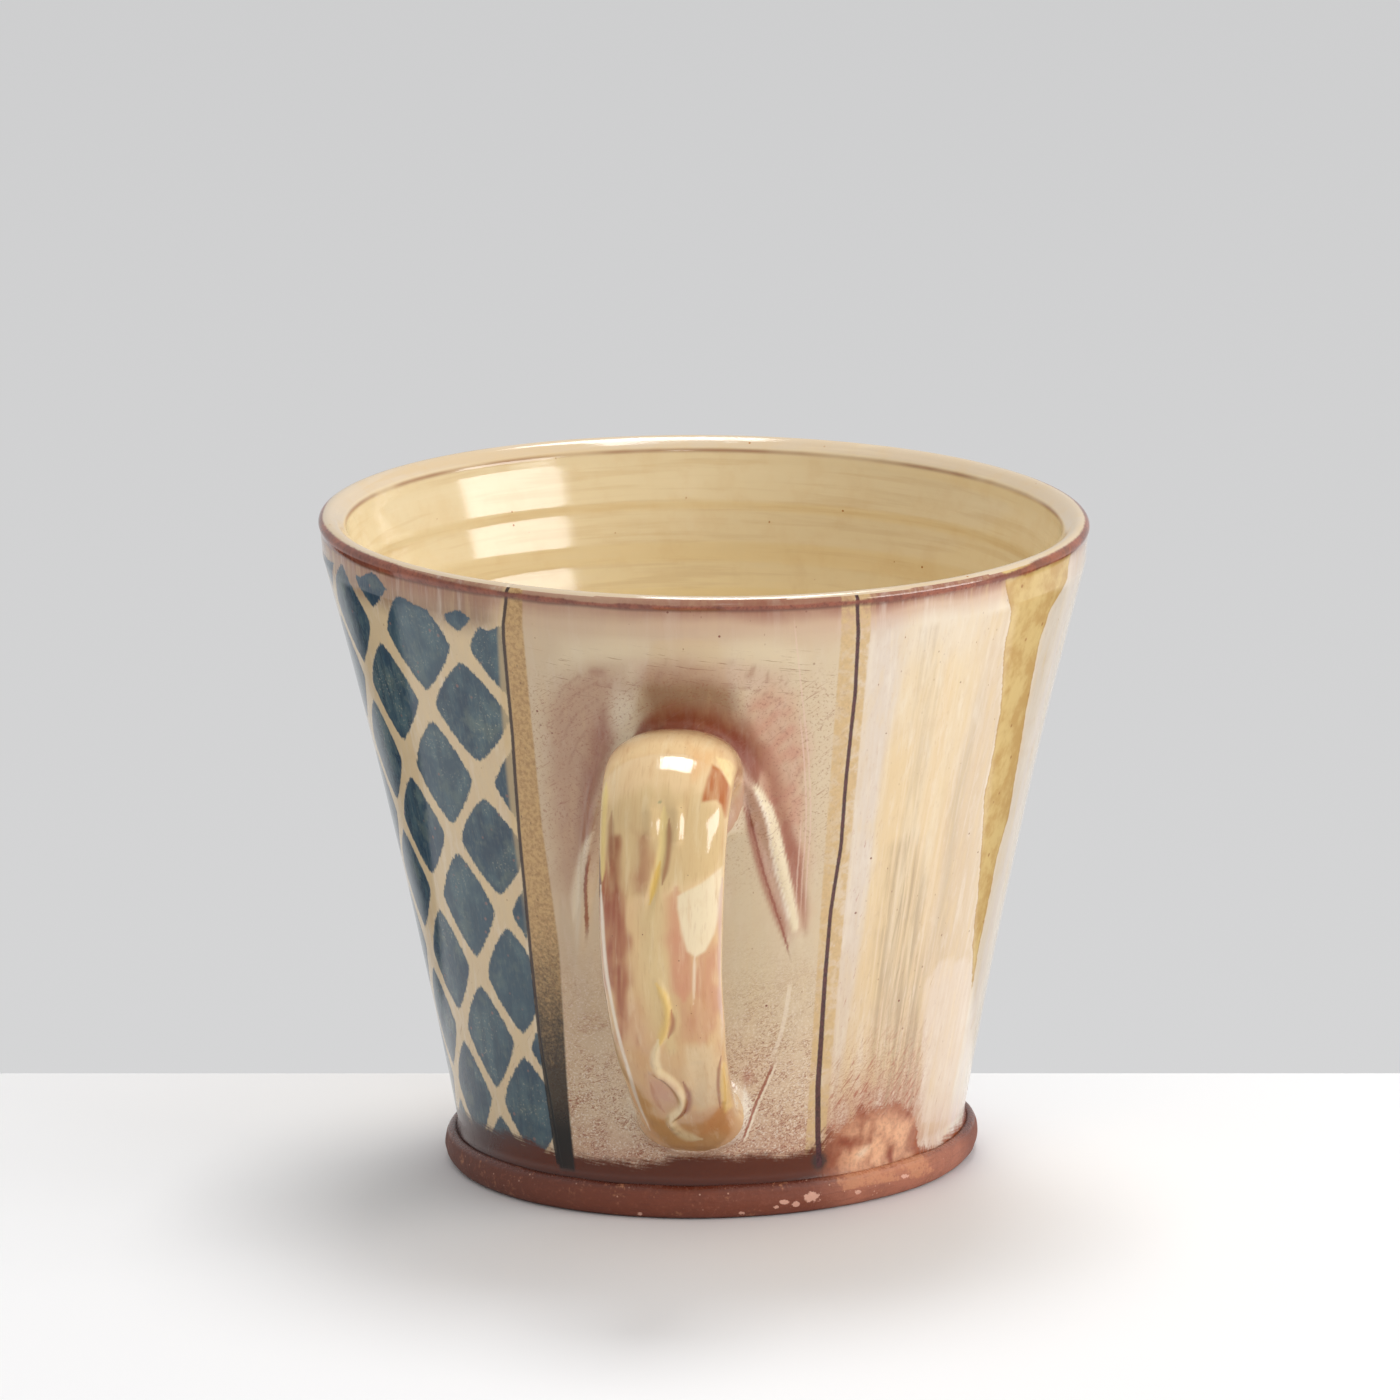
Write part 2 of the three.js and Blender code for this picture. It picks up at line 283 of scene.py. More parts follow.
# Throwing rings: nearly flat facets, each leaning out, with a short upright step between.
# Each entry is the height where a facet or step begins, going down, and its slope.
RINGS = [(93.4, 0.305), (87.7, 0.0), (86.45, 0.305), (81.8, 0.10), (78.8, 0.29), (75.0, 0.16), (70.5, 0.27), (66.0, 0.19), (61.5, 0.26),
         (58.0, 0.19), (53.5, 0.25), (50.0, 0.19), (45.5, 0.24), (42.0, 0.19), (37.5, 0.23), (34.0, 0.19), (30.0, 0.21), (14.0, 0.21)]
ring_z = np.arange(93.4, 13.9, -0.1)
ring_slope = np.array([[sl_ for z_, sl_ in RINGS if z <= z_ + 1e-9][-1] for z in ring_z])
soft = np.exp(-np.linspace(-2.2, 2.2, 9) ** 2)
ring_slope = np.convolve(np.pad(ring_slope, 4, mode="edge"), soft / soft.sum(), "valid")
ring_r = 51.68 - np.concatenate([[0], np.cumsum(ring_slope[:-1] * 0.1)])
ring_r += (float(wall_inner(14.0)) - ring_r[-1]) * smooth(-ring_z, -72, -14)


def inner_radius(z):
    return np.interp(-z, -ring_z, ring_r)


for z in np.concatenate([np.arange(92.9, 74, -0.4), np.arange(74, 14, -0.8)]):
    rows.append((float(inner_radius(z)), z, 3))
bottom = spline([[float(wall_inner(14.2)) - 0.5, 13.4], [float(wall_inner(12)) - 1.9, 10.2], [float(wall_inner(12)) - 4.2, 8.1],
                 [float(wall_inner(12)) - 7.5, 7.0], [18, 6.65], [6, 6.6]], 20)
for r, z in bottom:
    rows.append((r, z, 4))
rows = np.array(rows)
R, Z, KIND = rows[:, 0], rows[:, 1], rows[:, 2].astype(int)
NR, NC = len(rows), len(THETA)
T2, R2 = np.meshgrid(THETA, R)
Z2 = np.repeat(Z[:, None], NC, 1)
K2 = np.repeat(KIND[:, None], NC, 1)
R2 = R2 + np.where(K2 == 3, 0.05 * wobble(T2 * 0.5, 0 * T2, Z2, 16, 14) * smooth(Z2, 8, 20) * (1 - smooth(Z2, 90, 93)), 0)
base_xyz = place(T2, R2, Z2)
# the hand's unevenness
uneven = wobble(base_xyz[..., 0], base_xyz[..., 1], base_xyz[..., 2] * 1.6, 16, 3) * 0.07 \
    + wobble(base_xyz[..., 0] * 0.12, base_xyz[..., 1] * 0.12, base_xyz[..., 2], 4.5, 5) * 0.025
R2 = R2 + np.where((K2 == 1), uneven, 0) + np.where((K2 == 2) & (Z2 > 93), uneven * 0.8, 0)
vessel = place(T2, R2, Z2)

ARC = np.radians(T2) * wall_outer(Z2)  # arc length from the handle's plane at each height

# ribs of clay smeared down the wall from the handle's upper root: arc, height, half width, lift
RIB_R = np.array([[5.6, 72.6, 2.0, 2.9], [8.8, 70.8, 1.8, 2.8], [10.8, 68.2, 1.45, 1.9], [12.4, 64.0, 1.25, 0.90], [13.8, 58.5, 1.15, 0.50],
                  [15.2, 52.5, 1.05, 0.36], [16.2, 47.0, 1.0, 0.25], [17.0, 42.5, 0.9, 0.12], [17.4, 39.0, 0.8, 0.0]])
RIB_L = np.array([[-5.6, 72.4, 2.0, 2.6], [-8.8, 70.0, 1.9, 2.6], [-11.0, 66.0, 1.6, 2.3], [-12.3, 61.0, 1.35, 2.0], [-13.2, 56.0, 1.2, 1.6],
                  [-13.9, 50.5, 1.0, 1.2], [-14.7, 45.0, 0.9, 0.8], [-15.4, 40.0, 0.7, 0.4], [-15.8, 37.0, 0.6, 0.0]])


def rib_lift(arc, z):
    total = np.zeros_like(arc)
    for rib in (RIB_R, RIB_L):
        line = spline(rib[:, :2], 60)
        d, t = to_line(arc, z, line)
        s = np.linspace(0, 1, len(rib))
        w = np.interp(t, s, rib[:, 2])
        h = np.interp(t, s, rib[:, 3])
        total = np.maximum(total, h * bell(d, w))
    return total


near = (K2 == 1) & (np.abs(T2) < 34)
lift = np.zeros_like(R2)
lift[near] = rib_lift(ARC[near], Z2[near])
# fillet between wall and handle: move the wall out along its normal on to the blended surface
FILLET = 2.0
idx = np.nonzero(near & (np.abs(T2) < 28) & (Z2 > 8))
p0 = vessel[idx]
phi = np.radians(T2[idx]) - math.pi / 2
slope = 0.2109 + 0.00094 * (Z2[idx] - 45)
normal = np.stack([np.cos(phi), np.sin(phi), -slope], -1)
normal /= np.linalg.norm(normal, axis=1)[:, None]
steps = np.linspace(0, 8.0, 33)
values = []
for s in steps:
    values.append(blend_min(np.full(len(p0), s), strap_distance(p0 + normal * s), FILLET))
values = np.array(values)
fillet = np.zeros(len(p0))
buried = np.zeros(len(p0), bool)
for i in range(len(p0)):
    v = values[:, i]
    if v[0] >= -1e-6:
        continue
    k = np.nonzero(v >= 0)[0]
    if len(k) == 0:
        buried[i] = True
        continue
    k = k[0]
    fillet[i] = lerp(steps[k - 1], steps[k], -v[k - 1] / (v[k] - v[k - 1] + 1e-12))
deep = np.where(buried, 1.6, np.where(fillet > FILLET, np.maximum(1.6, FILLET - 1.4 * (fillet - FILLET)), fillet))
both = np.zeros_like(R2)
both[idx] = deep
# a soft union of the rib and the fillet
hi, lo_ = np.maximum(lift, both), np.minimum(lift, both)
k = 1.6
soft_union = hi + np.clip(k - (hi - lo_), 0, None) ** 2 / (4 * k) * (lo_ > 0)
normals_all = np.zeros_like(vessel)
ph = np.radians(T2) - math.pi / 2
sl = 0.2109 + 0.00094 * (Z2 - 45)
nn = np.stack([np.cos(ph), np.sin(ph), -sl], -1)
nn /= np.linalg.norm(nn, axis=-1)[..., None]
vessel = vessel + nn * np.where(near, soft_union, 0)[..., None]


def grid_faces(nr, nc, close=True):
    i = np.arange(nr - 1)[:, None]
    j = np.arange(nc if close else nc - 1)[None, :]
    j2 = (j + 1) % nc
    a = i * nc + j
    b = i * nc + j2
    c = (i + 1) * nc + j2
    d = (i + 1) * nc + j
    return np.stack([a, b, c, d], -1).reshape(-1, 4)


def make_mesh(name, verts, quads, tris=(), attrs=None, material=None):
    me = bpy.data.meshes.new(name)
    faces = [tuple(f) for f in np.asarray(quads).tolist()] + [tuple(t) for t in tris]
    me.from_pydata((np.asarray(verts) * 0.001).tolist(), [], faces)
    me.polygons.foreach_set("use_smooth", [True] * len(me.polygons))
    for key, val in (attrs or {}).items():
        val = np.asarray(val, np.float32)
        if val.ndim == 1:
            at = me.attributes.new(key, "FLOAT", "POINT")
            at.data.foreach_set("value", val)
        elif val.shape[1] == 3:
            at = me.attributes.new(key, "FLOAT_VECTOR", "POINT")
            at.data.foreach_set("vector", val.ravel())
        else:
            at = me.attributes.new(key, "FLOAT_COLOR", "POINT")
            at.data.foreach_set("color", val.ravel())
    me.update()
    ob = bpy.data.objects.new(name, me)
    bpy.context.scene.collection.objects.link(ob)
    if material is not None:
        me.materials.append(material)
    return ob


# --------------------------------------------------------------------- paint on the wall
class Paint:
    """A colour laid down in coats, in linear RGB, one value for each vertex."""

    def __init__(self, shape, rgb):
        self.c = np.ones(tuple(shape) + (3,)) * lin(rgb)

    def coat(self, rgb, mask):
        m = np.clip(mask, 0, 1)[..., None]
        self.c = self.c * (1 - m) + lin(rgb) * m

    def rgba(self):
        c = self.c.reshape(-1, 3)
        return np.concatenate([c, np.ones((len(c), 1))], 1)


def theta_line(points):
    """Angle of a line down the wall, as a function of height."""
    p = np.array(sorted(points, key=lambda q: q[1]))
    return lambda z: np.interp(z, p[:, 1], p[:, 0])


LINE1 = theta_line([(-25.8, 96.5), (-27.1, 89.1), (-28.1, 74.1), (-29.6, 59.0), (-30.8, 40.2), (-31.35, 26.6), (-30.6, 13), (-30.0, 6.0)])
LINE2 = theta_line([(28.2, 96.2), (29.1, 81.1), (29.0, 67.6), (29.3, 57.1), (28.4, 46.8), (28.4, 36.8), (28.65, 26.7), (28.8, 19.1), (29.7, 11.4), (30.7, 6.5)])
BAND1 = theta_line([(-23.2, 95.4), (-24.0, 77.5), (-24.7, 59.6), (-24.2, 40.9), (-25.3, 27.2), (-26.1, 13.5)])
BAND2L = theta_line([(25.75, 96.4), (26.2, 60), (26.7, 19)])
BAND2R = theta_line([(30.45, 96), (31.2, 60), (31.7, 18.5)])
BIGL = theta_line([(54.3, 96.8), (55.1, 95.4), (57.5, 89.9), (57.9, 84.6), (60.9, 73.7), (61.5, 66.1), (61.7, 60.2), (65.5, 50.1), (70.0, 36.1), (74.3, 28.9), (76, 22)])
BIGR = theta_line([(76, 96.8), (74.8, 91.5), (70, 87.7), (69.2, 82.4), (70.3, 73.4), (72.5, 62.7), (74.2, 55), (73, 49), (73.6, 40.4), (74.1, 33.9), (75.1, 28.4), (74.5, 22)])
RAD = np.radians(1.0) * wall_outer(Z2)  # mm per degree


def across(line, t=T2, z=Z2):
    """Signed distance in mm to a line down the wall, positive to its right."""
    d = (t - line(z) + 180) % 360 - 180
    return d * np.radians(1.0) * wall_outer(z)


line1 = across(LINE1)
line2 = across(LINE2)
# lines on the unseen side, one at each edge of a painted panel
BACK = [103.0, 152.0, -150.0, -98.0]
d_back = np.min([np.abs(across(lambda z, a=a, i=i: a + 0.9 * np.sin(z / 17.0 + i))) for i, a in enumerate(BACK)], 0)
# large ochre stripe and its twins on the unseen side
big = np.minimum(across(BIGL), -across(BIGR))
for a in (126.0 + 60, -122.0):
    w = 4.6 + 1.2 * np.sin(Z2 / 13.0 + a)
    d = across(lambda z, a=a: a + 1.2 * np.sin(z / 15.0) + 0 * z)
    big = np.maximum(big, w - np.abs(d))
band1 = np.minimum(line1, -across(BAND1))
band1b = np.minimum(across(lambda z: LINE1(z) - 1.3 - 0.5 * np.sin(z / 9)), -line1)
band2 = np.minimum(across(BAND2L), -across(BAND2R))
ochre = np.maximum(band1, band2)
for i, a in enumerate(BACK):
    d = across(lambda z, a=a, i=i: a + 0.9 * np.sin(z / 17.0 + i))
    ochre = np.maximum(ochre, 1.9 - np.abs(d - 0.7))

# brushed lozenges in offset rows on two opposite panels
def lozenges(t, z, t0):
    pitch_t, pitch_z = 20.0, 20.5
    a, b = 7.7, 7.9
    best = np.full_like(z, -9.0)
    best_id = np.zeros_like(z)
    mm = np.radians(1.0) * wall_outer(z)
    for half in (0, 1):
        ti = np.floor((t - t0) / pitch_t - half * 0.5 + 0.5)
        zi = np.floor((z - 4.0) / pitch_z - half * 0.5 + 0.5)
        ct = t0 + (ti + half * 0.5) * pitch_t
        cz = 4.0 + (zi + half * 0.5) * pitch_z
        rnd = lattice(ti.astype(np.int64) + 50, zi.astype(np.int64) + 50, np.int64(half), 5)
        rn2 = lattice(ti.astype(np.int64) + 50, zi.astype(np.int64) + 50, np.int64(half), 9)
        u = np.abs(t - ct - (rnd - 0.5) * 0.9) / (a + (rn2 - 0.5) * 0.8)
        v = np.abs(z - cz - (rn2 - 0.5) * 0.9) / (b + (rnd - 0.5) * 0.9)
        q = (u**1.22 + v**1.22) ** (1 / 1.22)
        amm = a * mm
        d = (1 - q) * amm * b / np.sqrt(amm**2 + b**2)
        best_id = np.where(d > best, rnd, best_id)
        best = np.maximum(best, d)
    return best, best_id


loz, loz_id = lozenges(T2, Z2, -46.0)
panel_left = np.minimum(-line1 - 0.1, across(lambda z: -98.0 + 0.9 * np.sin(z / 17.0 + 3)) - 0.4)
panel_back = np.minimum(across(lambda z: 103.0 + 0.9 * np.sin(z / 17.0)) - 0.4, -across(lambda z: 152.0 + 0.9 * np.sin(z / 17.0 + 1)) - 0.4)
blue = np.minimum(loz, np.maximum(panel_left, panel_back))
blue = np.minimum(blue, 93.2 - 2.5 * smooth(T2, -48, -34) - Z2 + 1.5 * wobble(T2 * 0.8, Z2 * 0, Z2 * 0, 4, 8))

outside = (K2 == 1) | (K2 == 0) | ((K2 == 2) & (R2 > 54.0))
slip_edge = np.interp(T2, [-180, -90, -60, -40, -34, -30, -20, -8.4, 2.6, 13.7, 24, 31, 36, 41, 46, 50, 54, 57.5, 60, 62, 72, 90, 130, 180],
                      [8.5, 9, 9.5, 9.6, 9.0, 8.6, 8.1, 8.7, 9.6, 9.4, 9.2, 10.4, 12.4, 14.2, 14.6, 14.2, 13.2, 12.2, 10.0, 5.4, 5.0, 6.4, 9.5, 8.5])
slip = Z2 - slip_edge

# cream slip and its washes
body = Paint(T2.shape, (224, 206, 178))
right_panel = smooth(line2, 0, 3) * (1 - smooth(T2, 96, 102))
body.coat((229, 212, 188), right_panel * 0.9)
body.coat((218, 202, 188), bell(line2 - 4.4, 3.2) * 0.7 * (Z2 > 0))
for a0, a1, z0, z1, s, tone in ((35.3, 52.0, -5, 92, 0.75, (230, 206, 166)), (36.5, 41.5, 20, 80, 0.5, (226, 194, 142)), (44.0, 46.5, 30, 90, 0.4, (224, 190, 140)),
                                (49.0, 53.0, 12, 72, 0.5, (220, 188, 144)), (47.2, 48.3, 5, 60, 0.5, (198, 168, 128)), (55.5, 58.5, 6, 60, 0.4, (224, 196, 154)),
                                (41.5, 44.0, -5, 40, 0.5, (206, 172, 134)), (53.5, 55.0, -5, 52, 0.55, (190, 164, 132))):
    edge = 0.8 * wobble(Z2 * 0.4, 0 * Z2, 0 * Z2, 9, int(a0 * 10)) + 0.04 * (Z2 - 50)
    body.coat(tone, s * smooth(T2 - a0 - edge, -0.5, 0.7) * (1 - smooth(T2 - a1 - edge, -0.8, 0.8)) * smooth(Z2, z0, z0 + 10) * (1 - smooth(Z2, z1 - 12, z1)))
GREY = theta_line([(66, 8), (61.5, 24), (56.5, 40), (53.5, 60), (54.5, 78)])
body.coat((196, 178, 152), 0.75 * bell(across(GREY) + 0.4 * wobble(Z2 * 0.5, 0 * Z2, 0 * Z2, 6, 77), 1.3) * smooth(Z2, 8, 16) * (1 - smooth(Z2, 66, 84)))
body.coat((242, 230, 208), 0.6 * bell(across(BIGL) + 1.5, 1.2) * (Z2 > 20))
body.coat((222, 208, 190), smooth(across(BIGR), 0.2, 1.0) * (1 - smooth(T2, 96, 102)) * 0.9)
body.coat((214, 200, 190), 0.5 * bell(T2 - 79.5, 2.0))
body.coat((214, 188, 146), 0.75 * smooth(-line1, 0, 1) * (T2 < 0))
# the middle panel, round the handle
mid = smooth(line1, 0, 1) * smooth(-line2, 0, 1)
body.coat((214, 193, 160), mid * 0.85)
# painted shade: the middle panel darker towards its left, more so low down on the left
body.coat((198, 170, 138), 0.42 * smooth(-T2, 2, 27) * mid)
body.coat((190, 154, 122), 0.38 * smooth(-T2, 6, 24) * smooth(-Z2, -56, -20) * mid)
# washes round the handle, laid out in front elevation
wx, wy = elevation(place(T2, R2, Z2))
facing = mid * (np.abs(T2) < 36) * (K2 == 1)
wn = wobble(wx, wy, 0 * wx, 26, 61) * 0.5 + wobble(wx, wy, 0 * wx, 11, 62) * 0.3
wn2 = wobble(wx * 0.5 + wy * 0.5, wy * 0.25 - wx * 0.25, 0 * wx, 5, 63)


def patch(cx, cy, rx, ry, power=2.4, wob=0.25):
    return np.exp(-((np.abs((wx - cx) / rx) ** power) + (np.abs((wy - cy) / ry) ** power)) * (1 + wob * wn * 2))


def trail(points, w, soft_=1.0, taper=0.2):
    line = spline(points, 60)
    d, t_ = to_line(wx, wy, line)
    ww = w * np.clip(np.minimum(t_, 1 - t_) / taper, 0.12, 1)
    return 1 - smooth(d, ww * (1 - 0.6 * soft_), ww * (1 + 0.9 * soft_))


def area_of(points, feather):
    return smooth(inside(wx, wy, points) + feather * 0.5 * wn, -feather, feather)


mauve_l = area_of([(548, 712), (562, 680), (592, 664), (622, 668), (634, 690), (620, 712), (612, 740), (604, 780), (598, 830), (588, 878), (570, 912), (556, 880), (548, 800)], 14)
mauve_r = area_of([(748, 700), (772, 684), (796, 694), (806, 740), (806, 800), (808, 860), (806, 925), (796, 930), (786, 880), (776, 830), (764, 790), (750, 762), (742, 735)], 12)
body.coat((178, 138, 112), 0.76 * mauve_l * facing)
body.coat((204, 156, 130), 0.86 * mauve_r * (0.92 + 0.35 * wn2) * facing)
body.coat((150, 92, 72), 0.80 * area_of([(604, 712), (613, 735), (605, 775), (598, 815), (588, 850), (580, 862), (582, 800), (590, 740)], 10) * facing)
body.coat((164, 98, 74), 0.75 * area_of([(746, 738), (766, 742), (784, 790), (796, 850), (800, 905), (793, 905), (780, 850), (764, 795), (748, 765)], 9) * facing)
body.coat((144, 104, 76), 0.84 * area_of([(638, 690), (648, 670), (680, 666), (712, 672), (732, 690), (752, 745), (735, 742), (700, 724), (650, 724), (638, 708)], 15) * facing)
body.coat((204, 168, 148), 0.45 * area_of([(630, 660), (680, 655), (790, 672), (790, 690), (700, 684), (640, 682)], 9) * facing)
body.coat((150, 86, 54), 0.80 * area_of([(648, 712), (668, 702), (712, 708), (742, 722), (760, 748), (756, 775), (738, 748), (715, 730), (660, 726), (640, 730)], 10) * facing)
# dark red-brown band in the crease just above the strap: partly slip thinned over the red clay, partly painted shade
# where the strap meets the wall
body.coat((138, 62, 24), 0.94 * trail([(632, 738), (648, 728), (668, 724), (695, 724), (718, 731), (737, 744), (750, 764)], 8, 1.2, 0.15) * facing)
body.coat((128, 50, 20), 0.75 * trail([(716, 733), (734, 744), (748, 760), (756, 780)], 7, 1.3, 0.15) * facing)
body.coat((222, 206, 180), 0.85 * patch(622, 712, 13, 24, 2.6) * facing)
body.coat((226, 208, 174), 0.60 * area_of([(560, 640), (640, 628), (740, 632), (806, 650), (800, 668), (700, 652), (620, 658), (560, 664)], 10) * facing)
body.coat((214, 196, 162), 0.75 * area_of([(726, 830), (742, 826), (756, 870), (766, 930), (772, 990), (760, 1020), (728, 1020)], 12) * facing)
# brush strokes: fine arcs swept outwards from the top of the handle
for stroke in ([(551, 708), (566, 686), (590, 672), (618, 675)], [(553, 728), (572, 698), (598, 684), (624, 690)],
               [(557, 752), (575, 716), (598, 700)], [(561, 790), (574, 750), (592, 722)], [(566, 838), (576, 800), (586, 768)],
               [(642, 667), (684, 660), (744, 666), (800, 690)], [(636, 680), (690, 670), (760, 678), (804, 702)],
               [(700, 682), (760, 692), (800, 716)], [(758, 716), (784, 760), (798, 820)], [(766, 704), (794, 752), (806, 812)]):
    body.coat((150, 94, 74), 0.40 * trail(stroke, 0.9, 1.1, 0.35) * smooth(wobble(wx, wy, 0 * wx, 30, 64), -0.9, 0.5) * facing)
# ridges of the ribs: pale on the crest with a painted highlight along it, red where the slip has thinned beside them
body.coat((160, 96, 74), 0.75 * area_of([(762, 780), (776, 796), (790, 820), (802, 860), (808, 900), (806, 935), (799, 912), (792, 880), (786, 852), (779, 824), (770, 802)], 5) * facing)
body.coat((206, 166, 146), 0.80 * area_of([(738, 762), (750, 776), (760, 798), (768, 830), (778, 876), (788, 912), (790, 940), (776, 905), (762, 865), (750, 825), (740, 795)], 3.5) * facing)
body.coat((236, 220, 186), 0.95 * area_of([(750, 777), (758, 783), (772, 806), (779, 826), (785, 854), (791, 882), (797, 908), (799, 930), (792, 928), (785, 904), (778, 879), (770, 845), (766, 817), (759, 798)], 1.0) * facing)
body.coat((160, 88, 68), 0.85 * trail([(741, 798), (747, 815), (755, 846), (764, 879), (773, 904), (782, 928), (788, 952)], 3.4, 1.2, 0.2) * facing)
# painted highlight: a near-white line along the right rib's crest
body.coat((252, 240, 220), 0.85 * trail([(750, 778), (759, 799), (766, 818), (770, 845), (778, 880), (785, 905), (792, 930)], 1.2, 0.8, 0.1) * facing)
# painted highlight: a pale cream line down the left rib
body.coat((226, 208, 178), 0.85 * trail([(599, 822), (590, 842), (583, 862), (577, 890), (573, 925)], 4.5, 1.1, 0.25) * facing)
# painted shade: a broad darker streak down the left of the middle panel, beside the ochre band
body.coat((176, 150, 124), 0.2 * trail([(560, 900), (570, 960), (590, 1030), (612, 1090)], 12, 1.2, 0.3) * facing)
# rougher, redder ground low on the panel
lowred = smooth(wy + 30 * wn, 985, 1120) * facing
body.coat((224, 202, 172), 0.60 * smooth(wy + 20 * wn, 1010, 1090) * facing * smooth(wx, 560, 600))
body.coat((206, 164, 138), 0.25 * lowred * smooth(wx + 20 * wn, 700, 760))
body.coat((232, 220, 200), 0.85 * trail([(744, 1088), (747, 1108), (741, 1128), (728, 1143)], 6, 1.0, 0.25) * facing)
body.coat((178, 112, 96), 0.60 * patch(748, 1077, 6, 9) * facing)
body.coat((214, 178, 166), 0.6 * smooth(-Z2, -13, -6) * smooth(T2, 58, 61) * (1 - smooth(T2, 92, 100)) * (K2 == 1))
# right panel: thinner and browner low down, with brush streaks
rp = smooth(line2, 0.4, 1.4) * (K2 == 1) * (1 - smooth(T2, 72, 78)) * smooth(across(BIGL) * -1, -0.3, 0.6)
# painted shade: the right panel darker towards its right edge
body.coat((206, 176, 138), 0.66 * rp * smooth(T2, 46, 60))
body.coat((214, 186, 150), 0.50 * rp * smooth(wy + 14 * wn, 890, 1030))
body.coat((196, 154, 122), 0.55 * rp * smooth(wy + 14 * wn, 1050, 1125) * (1 - smooth(wx, 915, 930)))
fibre = 0.9 * area_of([(884, 850), (916, 830), (926, 900), (921, 1000), (917, 1128), (876, 1132), (870, 1080), (876, 960)], 9)
fibre = np.maximum(fibre, 0.35 * area_of([(926, 556), (948, 556), (940, 660), (926, 770), (912, 850), (900, 860), (908, 760), (918, 660)], 10)) * rp
body.coat((202, 176, 142), 0.35 * fibre)
body.coat((224, 204, 184), 0.75 * area_of([(923, 985), (942, 960), (975, 960), (985, 1060), (968, 1112), (940, 1122), (921, 1122)], 2.0) * rp)
# blush under the lip, and the clay showing through at the foot
blush = 0.62 + 0.38 * smooth(T2, -22, 6) * (1 - smooth(T2, 60, 75)) + 0.16 * wobble(T2, Z2 * 1.5, Z2 * 0, 7, 4)
body.coat((124, 98, 76), 0.88 * smooth(-T2, 27, 31) * (1 - smooth(-T2, 70, 90)) * smooth(Z2, 87.5 + 1.2 * wobble(T2, 0 * T2, 0 * T2, 7, 2), 92) * outside)
body.coat((198, 154, 128), 0.72 * blush * smooth(Z2, 87.5 + 3.2 * smooth(T2, 22, 40) + 1.2 * wobble(T2, 0 * T2, 0 * T2, 7, 2), 94.3) * outside)
body.coat((150, 92, 70), 0.85 * blush * smooth(Z2, 92.2 + 1.2 * smooth(T2, 22, 40) + 0.7 * wobble(T2, Z2 * 0.5, 0 * T2, 8, 6), 95.2) * outside)
body.coat((190, 140, 120), 0.55 * smooth(-slip, -9 + 2.5 * wobble(T2, 0 * T2, 0 * T2, 6, 21), 0.5) * outside * smooth(T2, -34, -20) * (1 - smooth(T2, 70, 80)))

# bare, thinly glazed foot of the wall
foot = Paint(T2.shape, (94, 38, 12))
foot.coat((70, 34, 26), smooth(-T2, 42, 56) * (1 - smooth(-T2, 80, 95)))
foot.coat((68, 22, 6), 0.60 * smooth(-Z2, -5.6, -5.0))
foot.coat((150, 76, 48), smooth(T2, 28, 36) * (1 - smooth(T2, 110, 165)))
fw = wobble(T2 * 0.7, Z2, 0 * T2, 2.4, 91) + 0.6 * wobble(T2 * 0.7, Z2, 0 * T2, 1.0, 92)
foot.coat((236, 180, 140), 0.97 * np.exp(-(((T2 - 48) / 13) ** 4 + ((Z2 - 8.0) / 5.6) ** 4)) * np.clip(0.62 + 0.75 * fw, 0, 1))
foot.coat((160, 78, 28), 0.8 * smooth(T2, 58, 62) * (1 - smooth(T2, 84, 92)))
foot.coat((238, 208, 176), np.exp(-(((T2 - 42.5 - 1.2 * (Z2 - 7.6)) / 1.5) ** 2 + ((Z2 - 7.6) / 0.8) ** 2)))

# lip and inside
inner = Paint(T2.shape, (236, 216, 172))
inner.coat((234, 210, 160), 0.4 * smooth(-Z2, -80, -30))
inner.coat((238, 220, 182), 0.3 * smooth(Z2, 82, 93))
# painted light: a bright pool low on the far side of the inside wall
inner.coat((255, 236, 186), 0.75 * smooth(-Z2, -84, -72) * bell((T2 % 360) - 186, 40) * (K2 == 3))
inner.coat((218, 197, 167), ((K2 == 2) & (R2 < 55.95)).astype(float) * smooth(R2, 51.9, 52.5) * (Z2 > 94.6))
inside_mask = ((K2 == 3) | (K2 == 4) | ((K2 == 2) & (R2 < 55.55) & ((Z2 > 96.0) | (R2 < 54.0)))).astype(float)
edge_brown = bell(np.hypot(R2 - 52.0, Z2 - 95.05), 0.34) * (K2 == 2) * (R2 < 53.5)
# how far into the red-brown band on the outer edge of the lip: wider on the left than on the right
lip_low = 94.92 - 0.30 * smooth(-T2, 20, 75) * (1 - smooth(-T2, 110, 170)) + 0.10 * smooth(T2, 20, 70)
lip_high = np.interp(T2, [-180, -90, -60, -38, -12, 20, 52, 80, 180], [97.6, 97.6, 97.0, 96.1, 95.78, 95.76, 96.05, 97.2, 97.6])
lip_high = lip_high + 0.10 * wobble(T2 * 0.9, 0 * T2, 0 * T2, 3, 74)
lip_low = lip_low + 0.10 * wobble(T2 * 0.9, 0 * T2, 0 * T2, 6, 71)
crest_from = 55.28 - 0.55 * smooth(np.abs(T2), 80, 110) * (0.6 + 0.6 * wobble(T2, 0 * T2, 0 * T2, 9, 73))
on_crest = np.where(R2 > 54.2, (R2 - crest_from) * 1.2 + 0.06 * wobble(T2 * 0.9, 0 * T2, 0 * T2, 4, 72), -1.0)
on_crest = np.minimum(on_crest, (lip_high - Z2) * 1.3)
lip_band = np.where(K2 == 2, np.where(R2 > 54.2, np.minimum(Z2 - lip_low, on_crest), -1.0), Z2 - lip_low)
lip_shadow = (1 - 0.7 * smooth(T2, 25, 45)) * bell(Z2 - lip_low - 0.05, 0.32) * ((K2 == 2) | (K2 == 1)) * (R2 > 55)

